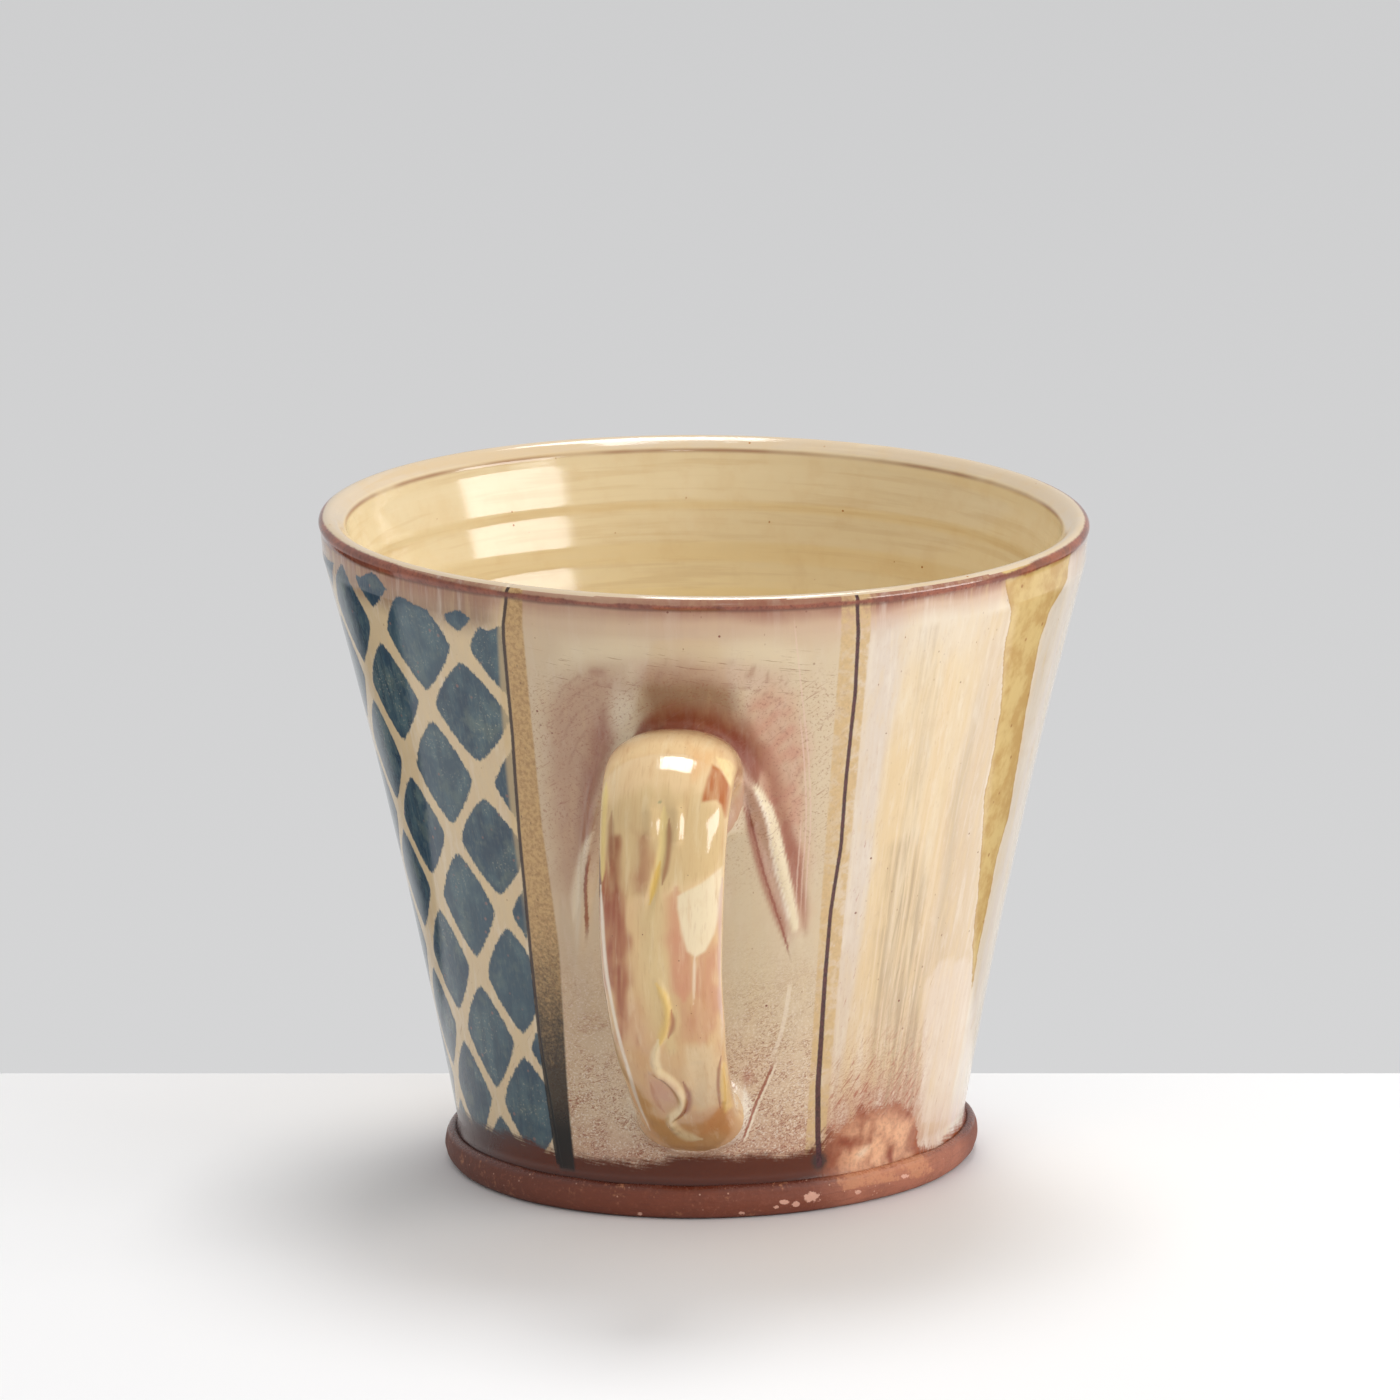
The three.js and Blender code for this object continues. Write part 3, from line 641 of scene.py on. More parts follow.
pole_low = NR * NC
pole_high = pole_low + 1
verts = np.vstack([vessel.reshape(-1, 3), [[0, 0, 0]], [[0, 0, 6.6]]])
quads = grid_faces(NR, NC)
tris = [(pole_low, (j + 1) % NC, j) for j in range(NC)]
last = (NR - 1) * NC
tris += [(pole_high, last + j, last + (j + 1) % NC) for j in range(NC)]


def pad(a, low, high):
    a = np.asarray(a, float)
    a = a.reshape(NR * NC, -1)
    out = np.vstack([a, np.full((1, a.shape[1]), low), np.full((1, a.shape[1]), high)])
    return out[:, 0] if out.shape[1] == 1 else out


# fine lines down the panel, as (across, down) points in front elevation
RIDGE_R = [(750, 770), (757, 790), (764, 812), (771, 845), (779, 880), (789, 915), (799, 950)]
GROOVE_R = [(741, 785), (748, 808), (755, 838), (763, 870), (774, 905), (787, 945), (793, 975)]
LINE_L = [(597, 835), (592, 855), (588.5, 880), (588, 905), (587, 935), (583, 965)]
SCRATCH_A = [(798, 700), (804, 760), (806, 820), (802, 880), (800, 930)]
SCRATCH_B = [(774, 1062), (764, 1085), (753, 1110), (741, 1142)]
CURVE_R = [(791, 976), (786, 1010), (779, 1040), (769, 1062)]


def offset_x(points):
    p = spline(points, 80)
    lo_y, hi_y = p[0], p[-1]
    x = np.interp(wy, p[:, 1], p[:, 0])
    x = np.where(wy < lo_y[1], lo_y[0] + (wy - lo_y[1]) * (p[4, 0] - p[0, 0]) / (p[4, 1] - p[0, 1]), x)
    x = np.where(wy > hi_y[1], hi_y[0] + (wy - hi_y[1]) * (p[-1, 0] - p[-5, 0]) / (p[-1, 1] - p[-5, 1]), x)
    return np.where(np.abs(T2) < 80, wx - x, 900.0)


brush_frame = np.stack([ARC, Z2, 0 * Z2], -1)
matte = area_of([(628, 716), (700, 700), (764, 726), (792, 790), (772, 800), (748, 812), (736, 770), (700, 742), (640, 744), (604, 800), (590, 800), (604, 744)], 9) * (np.abs(T2) < 40) * (K2 == 1)
vessel_attrs = {
    "matte": pad(matte, 0, 0),
    "fibre": pad(fibre, 0, 0),
    "rp": pad(rp, 0, 0),
    "P": verts,
    "A": pad(brush_frame, 0, 0),
    "body": pad(body.rgba(), 0.5, 0.5),
    "foot": pad(foot.rgba(), 0.2, 0.2),
    "inner": pad(inner.rgba(), 0.5, 0.5),
    "is_inner": pad(inside_mask, 0, 1),
    "edge_brown": pad(edge_brown, 0, 0),
    "lip_band": pad(lip_band, -1, -1),
    "line1": pad(line1, 9, 9),
    "line2": pad(line2, 9, 9),
    "line_b": pad(d_back, 9, 9),
    "ochre": pad(ochre, -9, -9),
    "ochre1b": pad(band1b, -9, -9),
    "big": pad(big, -9, -9),
    "blue": pad(blue, -9, -9),
    "blue_id": pad(loz_id, 0, 0),
    "slip": pad(np.where(outside, slip, 9), -9, 9),
    "mid": pad(mid, 0, 0),
    "height": pad(Z2, 0, 6),
    "angle": pad(T2, 0, 0),
    "lip_shadow": pad(lip_shadow, 0, 0),
    "E": pad(np.stack([wx, wy, 0 * wx], -1), 0, 0),
    "fine_a": pad(np.stack([offset_x(RIDGE_R), offset_x(GROOVE_R), offset_x(LINE_L)], -1), 900, 900),
    "fine_b": pad(np.stack([offset_x(SCRATCH_A), offset_x(SCRATCH_B), offset_x(CURVE_R)], -1), 900, 900),
}


# --------------------------------------------------------------------- node material kit
class Nodes:
    def __init__(self, name):
        self.mat = bpy.data.materials.new(name)
        self.mat.use_nodes = True
        self.tree = self.mat.node_tree
        self.tree.nodes.clear()
        self.out = self.tree.nodes.new("ShaderNodeOutputMaterial")
        self.bsdf = self.tree.nodes.new("ShaderNodeBsdfPrincipled")
        self.tree.links.new(self.bsdf.outputs[0], self.out.inputs[0])
        self.cache = {}

    def new(self, kind, **props):
        n = self.tree.nodes.new(kind)
        for k_, v_ in props.items():
            setattr(n, k_, v_)
        return n

    def put(self, value, socket):
        if isinstance(value, bpy.types.NodeSocket):
            self.tree.links.new(value, socket)
        elif value is not None:
            socket.default_value = value

    def attr(self, name, out="Fac"):
        if name not in self.cache:
            self.cache[name] = self.new("ShaderNodeAttribute", attribute_name=name)
        return self.cache[name].outputs[out]

    def math(self, op, a, b=None, c=None, clamp=False):
        n = self.new("ShaderNodeMath", operation=op, use_clamp=clamp)
        for v_, s_ in zip((a, b, c), n.inputs):
            self.put(v_, s_)
        return n.outputs[0]

    def add(self, a, b):
        return self.math("ADD", a, b)

    def mul(self, a, b, clamp=False):
        return self.math("MULTIPLY", a, b, clamp=clamp)

    def step(self, x, lo, hi, a=0.0, b=1.0):
        n = self.new("ShaderNodeMapRange", interpolation_type="SMOOTHSTEP")
        self.put(x, n.inputs[0])
        n.inputs[1].default_value = lo
        n.inputs[2].default_value = hi
        n.inputs[3].default_value = a
        n.inputs[4].default_value = b
        return n.outputs[0]

    def scale(self, vec, xyz):
        n = self.new("ShaderNodeVectorMath", operation="MULTIPLY")
        self.put(vec, n.inputs[0])
        n.inputs[1].default_value = xyz
        return n.outputs[0]

    def turn(self, vec, degrees):
        n = self.new("ShaderNodeVectorRotate", rotation_type="Z_AXIS")
        self.put(vec, n.inputs["Vector"])
        n.inputs["Angle"].default_value = math.radians(degrees)
        return n.outputs[0]

    def noise(self, vec, scale, detail=2.0, rough=0.5, distortion=0.0):
        n = self.new("ShaderNodeTexNoise")
        self.put(vec, n.inputs["Vector"])
        n.inputs["Scale"].default_value = scale
        n.inputs["Detail"].default_value = detail
        n.inputs["Roughness"].default_value = rough
        n.inputs["Distortion"].default_value = distortion
        return n.outputs["Fac"]

    def cells(self, vec, scale, out="Distance", feature="F1"):
        n = self.new("ShaderNodeTexVoronoi", feature=feature)
        self.put(vec, n.inputs["Vector"])
        n.inputs["Scale"].default_value = scale
        return n.outputs[out]

    def mix(self, fac, a, b, blend="MIX"):
        n = self.new("ShaderNodeMix", data_type="RGBA", blend_type=blend, clamp_factor=True)
        self.put(fac, n.inputs[0])
        for v_, s_ in ((a, n.inputs[6]), (b, n.inputs[7])):
            if isinstance(v_, (tuple, list)):
                v_ = (*lin(v_).tolist(), 1.0)
            self.put(v_, s_)
        return n.outputs[2]

    def bump(self, height, distance, strength=1.0, normal=None):
        n = self.new("ShaderNodeBump")
        n.inputs["Strength"].default_value = strength
        n.inputs["Distance"].default_value = distance
        self.put(height, n.inputs["Height"])
        if normal is not None:
            self.put(normal, n.inputs["Normal"])
        return n.outputs[0]

    def finish(self, color, roughness, normal=None, ior=1.56, coat=0.0):
        self.put(color, self.bsdf.inputs["Base Color"])
        self.put(roughness, self.bsdf.inputs["Roughness"])
        self.bsdf.inputs["IOR"].default_value = ior
        if coat:
            self.bsdf.inputs["Coat Weight"].default_value = coat
            self.bsdf.inputs["Coat Roughness"].default_value = 0.04
        if normal is not None:
            self.put(normal, self.bsdf.inputs["Normal"])
        return self.mat


def glaze_surface(k, colour, P):
    """Fine mottling over a glazed colour."""
    fine = k.noise(P, 1.6, 3.0, 0.6)
    colour = k.mix(k.step(fine, 0.35, 0.75, 0.0, 0.16), colour, (150, 118, 86), "MULTIPLY")
    return colour, fine


def slip_wall_material():
    k = Nodes("slip_glazed_wall")
    P = k.attr("P", "Vector")
    A = k.attr("A", "Vector")
    tall = k.scale(P, (1.0, 1.0, 0.09))
    flat = k.scale(P, (0.16, 0.16, 1.0))
    streak = k.noise(tall, 0.55, 4.0, 0.62)
    hair = k.noise(tall, 2.6, 3.0, 0.65)
    ring = k.noise(flat, 0.9, 3.0, 0.6)
    mott = k.noise(P, 0.22, 4.0, 0.6)
    fine = k.noise(P, 1.7, 4.0, 0.62)
    grit = k.noise(P, 4.5, 2.0, 0.5)
    jitter = k.add(k.mul(k.add(fine, -0.5), 0.5), k.mul(k.add(grit, -0.5), 0.22))

    col = k.attr("body", "Color")
    calm = k.math("SUBTRACT", 1.0, k.mul(k.attr("mid"), 0.72))
    col = k.mix(k.mul(k.step(streak, 0.48, 0.72, 0.0, 0.34), calm), col, (228, 200, 150))
    col = k.mix(k.mul(k.step(streak, 0.50, 0.28, 0.0, 0.30), calm), col, (240, 230, 214))
    col = k.mix(k.mul(k.step(hair, 0.56, 0.72, 0.0, 0.20), calm), col, (190, 150, 120))
    col = k.mix(k.step(mott, 0.5, 0.72, 0.0, 0.22), col, (206, 176, 142))
    cv_ = k.new("ShaderNodeCombineXYZ")
    k.put(k.attr("angle"), cv_.inputs[0])
    k.put(k.mul(k.attr("height"), 0.03), cv_.inputs[1])
    fib = k.noise(k.scale(cv_.outputs[0], (0.85, 1.7, 1.0)), 1.0, 5.0, 0.60, 0.5)
    rp_m = k.attr("rp")
    col = k.mix(k.mul(k.step(fib, 0.48, 0.70), k.mul(rp_m, 0.24)), col, (216, 186, 144))
    col = k.mix(k.mul(k.step(fib, 0.50, 0.30), k.mul(rp_m, 0.24)), col, (240, 226, 204))
    col = k.mix(k.mul(k.step(fib, 0.42, 0.66), k.mul(k.attr("fibre"), 0.50)), col, (154, 130, 104))
    # specks of iron, and short scratches through the slip to the red body
    dots = k.cells(P, 0.36)
    col = k.mix(k.mul(k.step(dots, 0.085, 0.05), k.step(mott, 0.46, 0.6)), col, (140, 92, 74))
    dots2 = k.cells(k.scale(P, (1.0, 1.0, 0.55)), 0.85)
    col = k.mix(k.mul(k.mul(k.step(dots2, 0.11, 0.05), k.step(streak, 0.5, 0.64)), 0.7), col, (150, 100, 82))
    # brush scratches that cross the panel, and a net of short worm-like breaks low down
    sep = k.new("ShaderNodeSeparateXYZ")
    k.put(k.attr("E", "Vector"), sep.inputs[0])
    ev, eh = sep.outputs[1], sep.outputs[0]
    mid_m = k.attr("mid")
    diag = k.turn(A, -32.0)
    scr = k.noise(k.scale(diag, (0.22, 2.6, 1.0)), 1.0, 4.0, 0.72)
    flat_scr = k.noise(k.scale(k.turn(A, 7.0), (0.20, 3.0, 1.0)), 1.0, 4.0, 0.72)
    steep_scr = k.noise(k.scale(k.turn(A, -62.0), (0.3, 2.8, 1.0)), 1.0, 4.0, 0.72)
    scr_r = k.noise(k.scale(k.turn(A, -48.0), (0.3, 1.9, 1.0)), 1.0, 4.0, 0.7)
    worm = k.math("ABSOLUTE", k.add(k.noise(k.scale(k.turn(A, -20.0), (0.7, 1.7, 1.0)), 1.05, 2.5, 0.6, 1.3), -0.5))
    worm_m = k.step(worm, 0.050, 0.012)
    speck = k.noise(P, 2.4, 3.0, 0.7)
    low = k.step(k.attr("slip"), 40.0, 4.0)
    low_mid = k.mul(low, mid_m)
    arcs = k.mul(k.mul(k.step(ev, 640.0, 662.0), k.step(ev, 706.0, 684.0)), mid_m)
    side = k.mul(k.mul(k.step(ev, 655.0, 700.0), k.step(ev, 930.0, 800.0)), mid_m)
    grain = k.mul(k.step(speck, 0.54, 0.66), k.add(k.mul(side, 0.5), k.mul(low_mid, 0.30)))
    col = k.mix(grain, col, (152, 92, 72))
    col = k.mix(k.mul(k.step(flat_scr, 0.58, 0.66), k.mul(arcs, 0.6)), col, (140, 90, 68))
    col = k.mix(k.mul(k.step(scr, 0.57, 0.67), k.mul(side, 0.50)), col, (160, 106, 86))
    col = k.mix(k.mul(k.mul(worm_m, k.step(mott, 0.34, 0.56)), k.mul(low_mid, 0.85)), col, (150, 84, 60))
    col = k.mix(k.mul(k.step(k.noise(P, 3.1, 2.0, 0.6), 0.55, 0.64), k.mul(low_mid, 0.55)), col, (242, 232, 214))
    strip_r = k.mul(k.mul(k.step(k.attr("line2"), 0.9, 2.0), k.step(k.attr("line2"), 8.0, 4.5)), k.mul(k.step(k.attr("height"), 72.0, 56.0), k.step(k.attr("angle"), 20.0, 30.0)))
    col = k.mix(k.mul(k.step(k.noise(k.scale(k.turn(A, -68.0), (0.35, 2.2, 1.0)), 1.0, 4.0, 0.7), 0.60, 0.68), k.mul(strip_r, 0.6)), col, (180, 108, 88))
    low_right = k.mul(k.step(k.attr("slip"), 17.0, 3.0), k.mul(k.step(k.attr("angle"), 30.0, 33.0), k.step(k.attr("angle"), 66.0, 52.0)))
    col = k.mix(k.mul(k.step(scr_r, 0.53, 0.63), k.mul(low_right, 0.85)), col, (172, 100, 74))
    col = k.mix(k.mul(worm_m, k.mul(low_right, 0.55)), col, (164, 96, 70))
    col = k.mix(k.mul(k.step(steep_scr, 0.60, 0.70), k.mul(low, 0.60)), col, (150, 84, 60))
    col = k.mix(k.mul(k.step(scr, 0.42, 0.34), k.mul(low_mid, 0.45)), col, (238, 222, 196))

    fa, fb = k.new("ShaderNodeSeparateXYZ"), k.new("ShaderNodeSeparateXYZ")
    k.put(k.attr("fine_a", "Vector"), fa.inputs[0])
    k.put(k.attr("fine_b", "Vector"), fb.inputs[0])

    def fine_line(offset, half, y0, y1, fade=16.0, rough_=2.2):
        d = k.math("ABSOLUTE", k.add(offset, k.mul(k.add(fine, -0.5), rough_)))
        m = k.step(d, half + 0.9, half - 0.4)
        return k.mul(m, k.mul(k.step(ev, y0, y0 + fade), k.step(ev, y1, y1 - fade)))

    col = k.mix(k.mul(fine_line(fa.outputs[1], 0.9, 790.0, 965.0, 24.0, 5.0), 0.6), col, (140, 68, 50))
    col = k.mix(k.mul(fine_line(fa.outputs[2], 1.2, 838.0, 948.0, 30.0, 3.4), 0.8), col, (132, 64, 48))
    for shift in (0.0, -4.5, 5.0):
        col = k.mix(k.mul(fine_line(k.add(fb.outputs[0], shift), 0.5, 700.0 + 20 * shift, 930.0, 40.0, 2.0), 0.55), col, (226, 196, 176))
    col = k.mix(k.mul(fine_line(k.add(fb.outputs[1], -2.6), 1.2, 1058.0, 1145.0, 10.0, 2.0), 0.7), col, (238, 224, 200))
    col = k.mix(k.mul(fine_line(fb.outputs[1], 1.3, 1058.0, 1145.0, 14.0, 3.4), 0.8), col, (150, 78, 54))
    col = k.mix(k.mul(fine_line(fb.outputs[2], 1.8, 975.0, 1064.0, 20.0, 1.8), 0.5), col, (238, 224, 202))

    # blue panels, brushed on
    blue_d = k.add(k.attr("blue"), k.add(k.mul(jitter, 1.1), k.mul(k.add(hair, -0.5), 0.8)))
    blue_m = k.step(blue_d, -0.12, 0.22)
    wash = k.noise(P, 0.16, 3.0, 0.6)
    b = k.mix(k.step(wash, 0.38, 0.66), (38, 70, 90), (78, 104, 112))
    b = k.mix(k.step(hair, 0.50, 0.76, 0.0, 0.45), b, (128, 138, 128))
    b = k.mix(k.step(streak, 0.58, 0.36, 0.0, 0.6), b, (24, 52, 74))
    b = k.mix(k.step(mott, 0.52, 0.66, 0.0, 0.4), b, (108, 122, 112))
    b = k.mix(k.mul(k.step(speck, 0.56, 0.68), k.step(wash, 0.5, 0.62)), b, (150, 150, 138))
    b = k.mix(k.step(k.attr("blue_id"), 0.2, 0.9, 0.0, 0.35), b, (64, 92, 106))
    b = k.mix(k.mul(k.step(blue_d, 1.1, 0.3), 0.45), b, (52, 74, 92))
    b = k.mix(k.mul(k.step(dots, 0.13, 0.05), 0.5), b, (160, 110, 96))
    col = k.mix(k.mul(blue_m, k.step(fine, 0.10, 0.4, 0.80, 0.97)), col, b)

    # ochre bands beside the lines, and the broad ochre stripe
    ochre_d = k.add(k.attr("ochre"), k.mul(jitter, 0.35))
    och = k.mix(k.step(fine, 0.35, 0.7), (202, 164, 108), (168, 128, 80))
    och = k.mix(k.mul(k.step(dots2, 0.15, 0.06), 0.6), och, (96, 66, 44))
    right = k.step(k.attr("angle"), 0.0, 10.0)
    och = k.mix(k.mul(right, 0.6), och, (220, 190, 142))
    dark_end = k.mul(k.step(k.add(k.attr("height"), k.add(k.mul(k.add(speck, -0.5), 34.0), k.mul(k.add(mott, -0.5), 20.0))), 50.0, 20.0), k.step(k.attr("angle"), 0.0, -10.0))
    och = k.mix(k.mul(dark_end, 0.98), och, (18, 11, 4))
    och_a = k.math("SUBTRACT", 0.92, k.mul(k.mul(right, k.step(k.noise(P, 0.5, 3.0, 0.6, 0.4), 0.42, 0.66)), 0.62))
    col = k.mix(k.mul(k.step(ochre_d, -0.16, 0.24), och_a), col, och)
    o1b = k.mul(k.step(k.attr("ochre1b"), -0.4, 0.5), k.step(k.attr("height"), 34.0, 62.0, 0.0, 0.6))
    col = k.mix(o1b, col, (214, 184, 132))
    big_d = k.add(k.attr("big"), k.add(k.mul(jitter, 0.9), k.mul(k.add(mott, -0.5), 1.6)))
    bigc = k.mix(k.step(mott, 0.38, 0.64), (216, 186, 124), (196, 158, 96))
    bigc = k.mix(k.mul(k.step(dots, 0.14, 0.06), 0.7), bigc, (160, 106, 60))
    bigc = k.mix(k.mul(k.step(big_d, 0.55, 0.05), 0.6), bigc, (176, 132, 74))
    col = k.mix(k.mul(k.step(big_d, -0.08, 0.16), 0.95), col, bigc)

    # foot of the wall, where the slip stops and the red clay shows under clear glaze
    ragged = k.add(k.mul(jitter, 2.0), k.mul(k.add(mott, -0.5), 3.0))
    ragged = k.add(ragged, k.mul(k.add(flat_scr, -0.5), 3.0))
    hill = k.mul(k.step(k.attr("angle"), 26.0, 32.0), k.step(k.attr("angle"), 74.0, 62.0))
    ragged = k.add(ragged, k.mul(k.mul(k.add(k.add(k.mul(scr_r, 0.5), k.mul(mott, 0.5)), -0.5), 15.0), hill))
    slip_d = k.add(k.attr("slip"), ragged)
    footc = k.attr("foot", "Color")
    footc = k.mix(k.step(fine, 0.4, 0.7, 0.0, 0.25), footc, (84, 38, 22))
    slip_m = k.step(slip_d, -0.9, 0.9)
    blue_low = k.mul(k.step(k.attr("angle"), -33.0, -42.0), k.step(k.attr("slip"), -4.0, 3.0))
    col_low = k.mix(k.mul(blue_low, 0.7), footc, (56, 62, 66))
    col = k.mix(slip_m, col_low, col)

    tail_m = k.mul(k.step(ochre_d, -0.3, 0.3), k.mul(k.step(k.attr("angle"), 0.0, -10.0), k.step(k.attr("height"), 18.0, 11.0)))
    tail_m = k.mul(tail_m, k.step(k.attr("height"), 5.3, 6.4))
    col = k.mix(k.mul(tail_m, 0.95), col, (14, 9, 5))
    dz = k.mul(k.add(k.attr("height"), -7.4), 0.9)
    dx = k.attr("line2")
    dist2 = k.math("SQRT", k.add(k.mul(dz, dz), k.mul(dx, dx)))
    smudge = k.step(k.add(dist2, k.mul(jitter, 2.4)), 1.75, 0.7)
    col = k.mix(k.mul(smudge, 0.85), col, (52, 42, 40))

    # incised dark lines
    widen = k.step(k.attr("height"), 30.0, 8.0, 0.0, 0.20)
    widen2 = k.step(k.attr("height"), 50.0, 12.0, 0.0, 0.16)
    thin = k.mul(jitter, 0.45)
    def incised(name, half, extra=None):
        d = k.math("ABSOLUTE", k.attr(name))
        d = k.add(d, thin)
        if extra is not None:
            d = k.math("SUBTRACT", d, extra)
        return k.step(d, half + 0.14, half - 0.08)
    m1 = incised("line1", 0.25, widen)
    m2 = incised("line2", 0.27, widen2)
    mb = incised("line_b", 0.30)
    over_foot = k.step(k.attr("height"), 6.0, 7.0)
    l1c = k.mix(k.step(k.attr("height"), 34.0, 18.0), (40, 14, 14), (10, 6, 6))
    col = k.mix(k.mul(k.mul(m1, over_foot), 0.92), col, l1c)
    l2c = k.mix(k.step(fine, 0.4, 0.65), (84, 40, 46), (50, 20, 28))
    col = k.mix(k.mul(k.mul(m2, over_foot), 0.96), col, l2c)
    col = k.mix(k.mul(k.mul(mb, over_foot), 0.9), col, (92, 64, 62))

    # lip: a red-brown edge where the glaze ran thin
    lip_d = k.add(k.attr("lip_band"), k.mul(jitter, 0.8))
    lipc = k.mix(k.step(mott, 0.4, 0.62), (128, 70, 54), (156, 86, 62))
    lipc = k.mix(k.step(fine, 0.45, 0.7, 0.0, 0.6), lipc, (96, 50, 40))
    col = k.mix(k.mul(k.attr("lip_shadow"), 0.7), col, (92, 50, 38))

    # inside
    wash_n = k.noise(P, 0.07, 2.0, 0.5)
    ic = k.attr("inner", "Color")
    ic = k.mix(k.step(mott, 0.45, 0.7, 0.0, 0.22), ic, (222, 188, 132))
    ring_in = k.noise(k.scale(P, (0.035, 0.035, 0.62)), 1.0, 3.0, 0.6, 0.25)
    ic = k.mix(k.step(ring_in, 0.48, 0.66, 0.0, 0.32), ic, (214, 182, 128))
    ic = k.mix(k.step(ring_in, 0.44, 0.30, 0.0, 0.3), ic, (240, 222, 184))
    ic = k.mix(k.mul(k.step(dots, 0.08, 0.04), k.step(mott, 0.52, 0.6)), ic, (180, 116, 54))
    ic = k.mix(k.mul(k.attr("edge_brown"), k.step(wash_n, 0.35, 0.62, 0.35, 0.8)), ic, (150, 96, 62))
    m_in = k.step(k.add(k.attr("is_inner"), k.mul(jitter, 0.6)), 0.4, 0.6)
    col = k.mix(m_in, col, ic)
    col = k.mix(k.mul(k.step(lip_d, -0.1, 0.35), 0.95), col, lipc)

    groove = k.math("MAXIMUM", m1, m2)
    height = k.add(k.mul(fine, 0.012), k.mul(hair, 0.010))
    height = k.add(height, k.mul(streak, 0.03))
    height = k.add(height, k.mul(k.mul(steep_scr, low), 0.05))
    height = k.mul(height, k.math("SUBTRACT", 1.0, k.mul(m_in, 0.8)))
    height = k.math("SUBTRACT", height, k.mul(groove, 0.06))
    height = k.add(height, k.mul(blue_m, 0.02))
    nrm = k.bump(height, 0.001, 0.6)
    rough = k.add(0.05, k.mul(fine, 0.08))
    rough = k.add(rough, k.mul(k.math("SUBTRACT", 1.0, slip_m), 0.10))
    rough = k.add(rough, k.mul(k.attr("matte"), 0.5))
    return k.finish(col, rough, nrm, 1.52)


vessel_mat = slip_wall_material()
vessel_ob = make_mesh("mug_wall", verts, quads, tris, vessel_attrs, vessel_mat)
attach(vessel_ob, "root")
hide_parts("vessel_body")


# --------------------------------------------------------------------- foot ring
ring_line = spline([[34.3, 3.9], [34.3, 2.0], [34.3, 0.5], [34.6, 0.12], [35.2, 0.0], [36.6, 0.0], [37.5, 0.02], [38.0, 0.2], [38.5, 0.6],
                    [38.95, 1.3], [39.2, 2.1], [39.25, 2.9], [39.15, 3.6], [38.95, 4.25], [38.6, 4.75], [38.2, 5.0], [37.8, 4.98],
                    [37.5, 4.72], [37.25, 4.35], [36.9, 4.02], [36.2, 3.9], [35.2, 3.9], [34.3, 3.9]], 90)[:-1]
ring_t = np.arange(-180, 180, 0.8)
FT, FR = np.meshgrid(ring_t, ring_line[:, 0])
FZ = np.repeat(ring_line[:, 1][:, None], len(ring_t), 1)
rough_edge = 0.10 * wobble(FT * 0.7, FZ * 2, 0 * FZ, 9, 31) + 0.05 * wobble(FT * 0.7, FZ * 3, 0 * FZ, 2.6, 32)
outer_side = smooth(FR, 36.6, 38.4)
FR = FR + rough_edge * outer_side
FZ = FZ + 0.10 * wobble(FT * 0.7, 0 * FZ, 0 * FZ, 6, 33) * smooth(FZ, 3.4, 4.8)
ring_xyz = place(FT, FR, np.maximum(FZ, 0))
clay = Paint(FT.shape, (124, 62, 40))
clay.coat((92, 48, 34), 0.8 * smooth(-FT, 8, 60))
clay.coat((96, 44, 30), 0.8 * smooth(FZ, 4.0, 4.9))
clay.coat((186, 118, 92), 0.7 * smooth(FT, 26, 40) * (1 - smooth(FT, 74, 88)))
clay.coat((200, 128, 90), 0.6 * np.exp(-(((FT - 50) / 15) ** 4)) * smooth(FZ, 2.6, 4.6))
rx, ry = elevation(ring_xyz)
chip = np.zeros_like(FT)
for cx, cy, hx, hy in ((812, 1197, 9, 6), (796, 1204, 5, 3), (784, 1202, 6, 2.5), (776, 1207, 4, 2), (858, 1192, 4, 2.5), (742, 1213, 3, 2), (640, 1214, 2.5, 2), (905, 1176, 4, 2.5)):
    chip = np.maximum(chip, np.exp(-(((rx - cx) / hx) ** 2 + ((ry - cy) / hy) ** 2)) * (FR > 37))
peach = smooth(inside(rx, ry, [(836, 1177), (880, 1164), (918, 1154), (930, 1160), (934, 1170), (924, 1178), (882, 1183), (842, 1191)]), -1.5, 1.5) * (FR > 37) * (np.abs(FT) < 85)
# painted shade: darker along the outer bottom edge where the ring sits on the table
clay.coat((60, 34, 28), 0.85 * smooth(-FZ, -0.5, 0.0) * outer_side)
# painted shade: darker in the groove between the flange and the wall
clay.coat((88, 40, 26), 0.5 * smooth(-FR, -38.1, -37.4) * (FZ > 3))


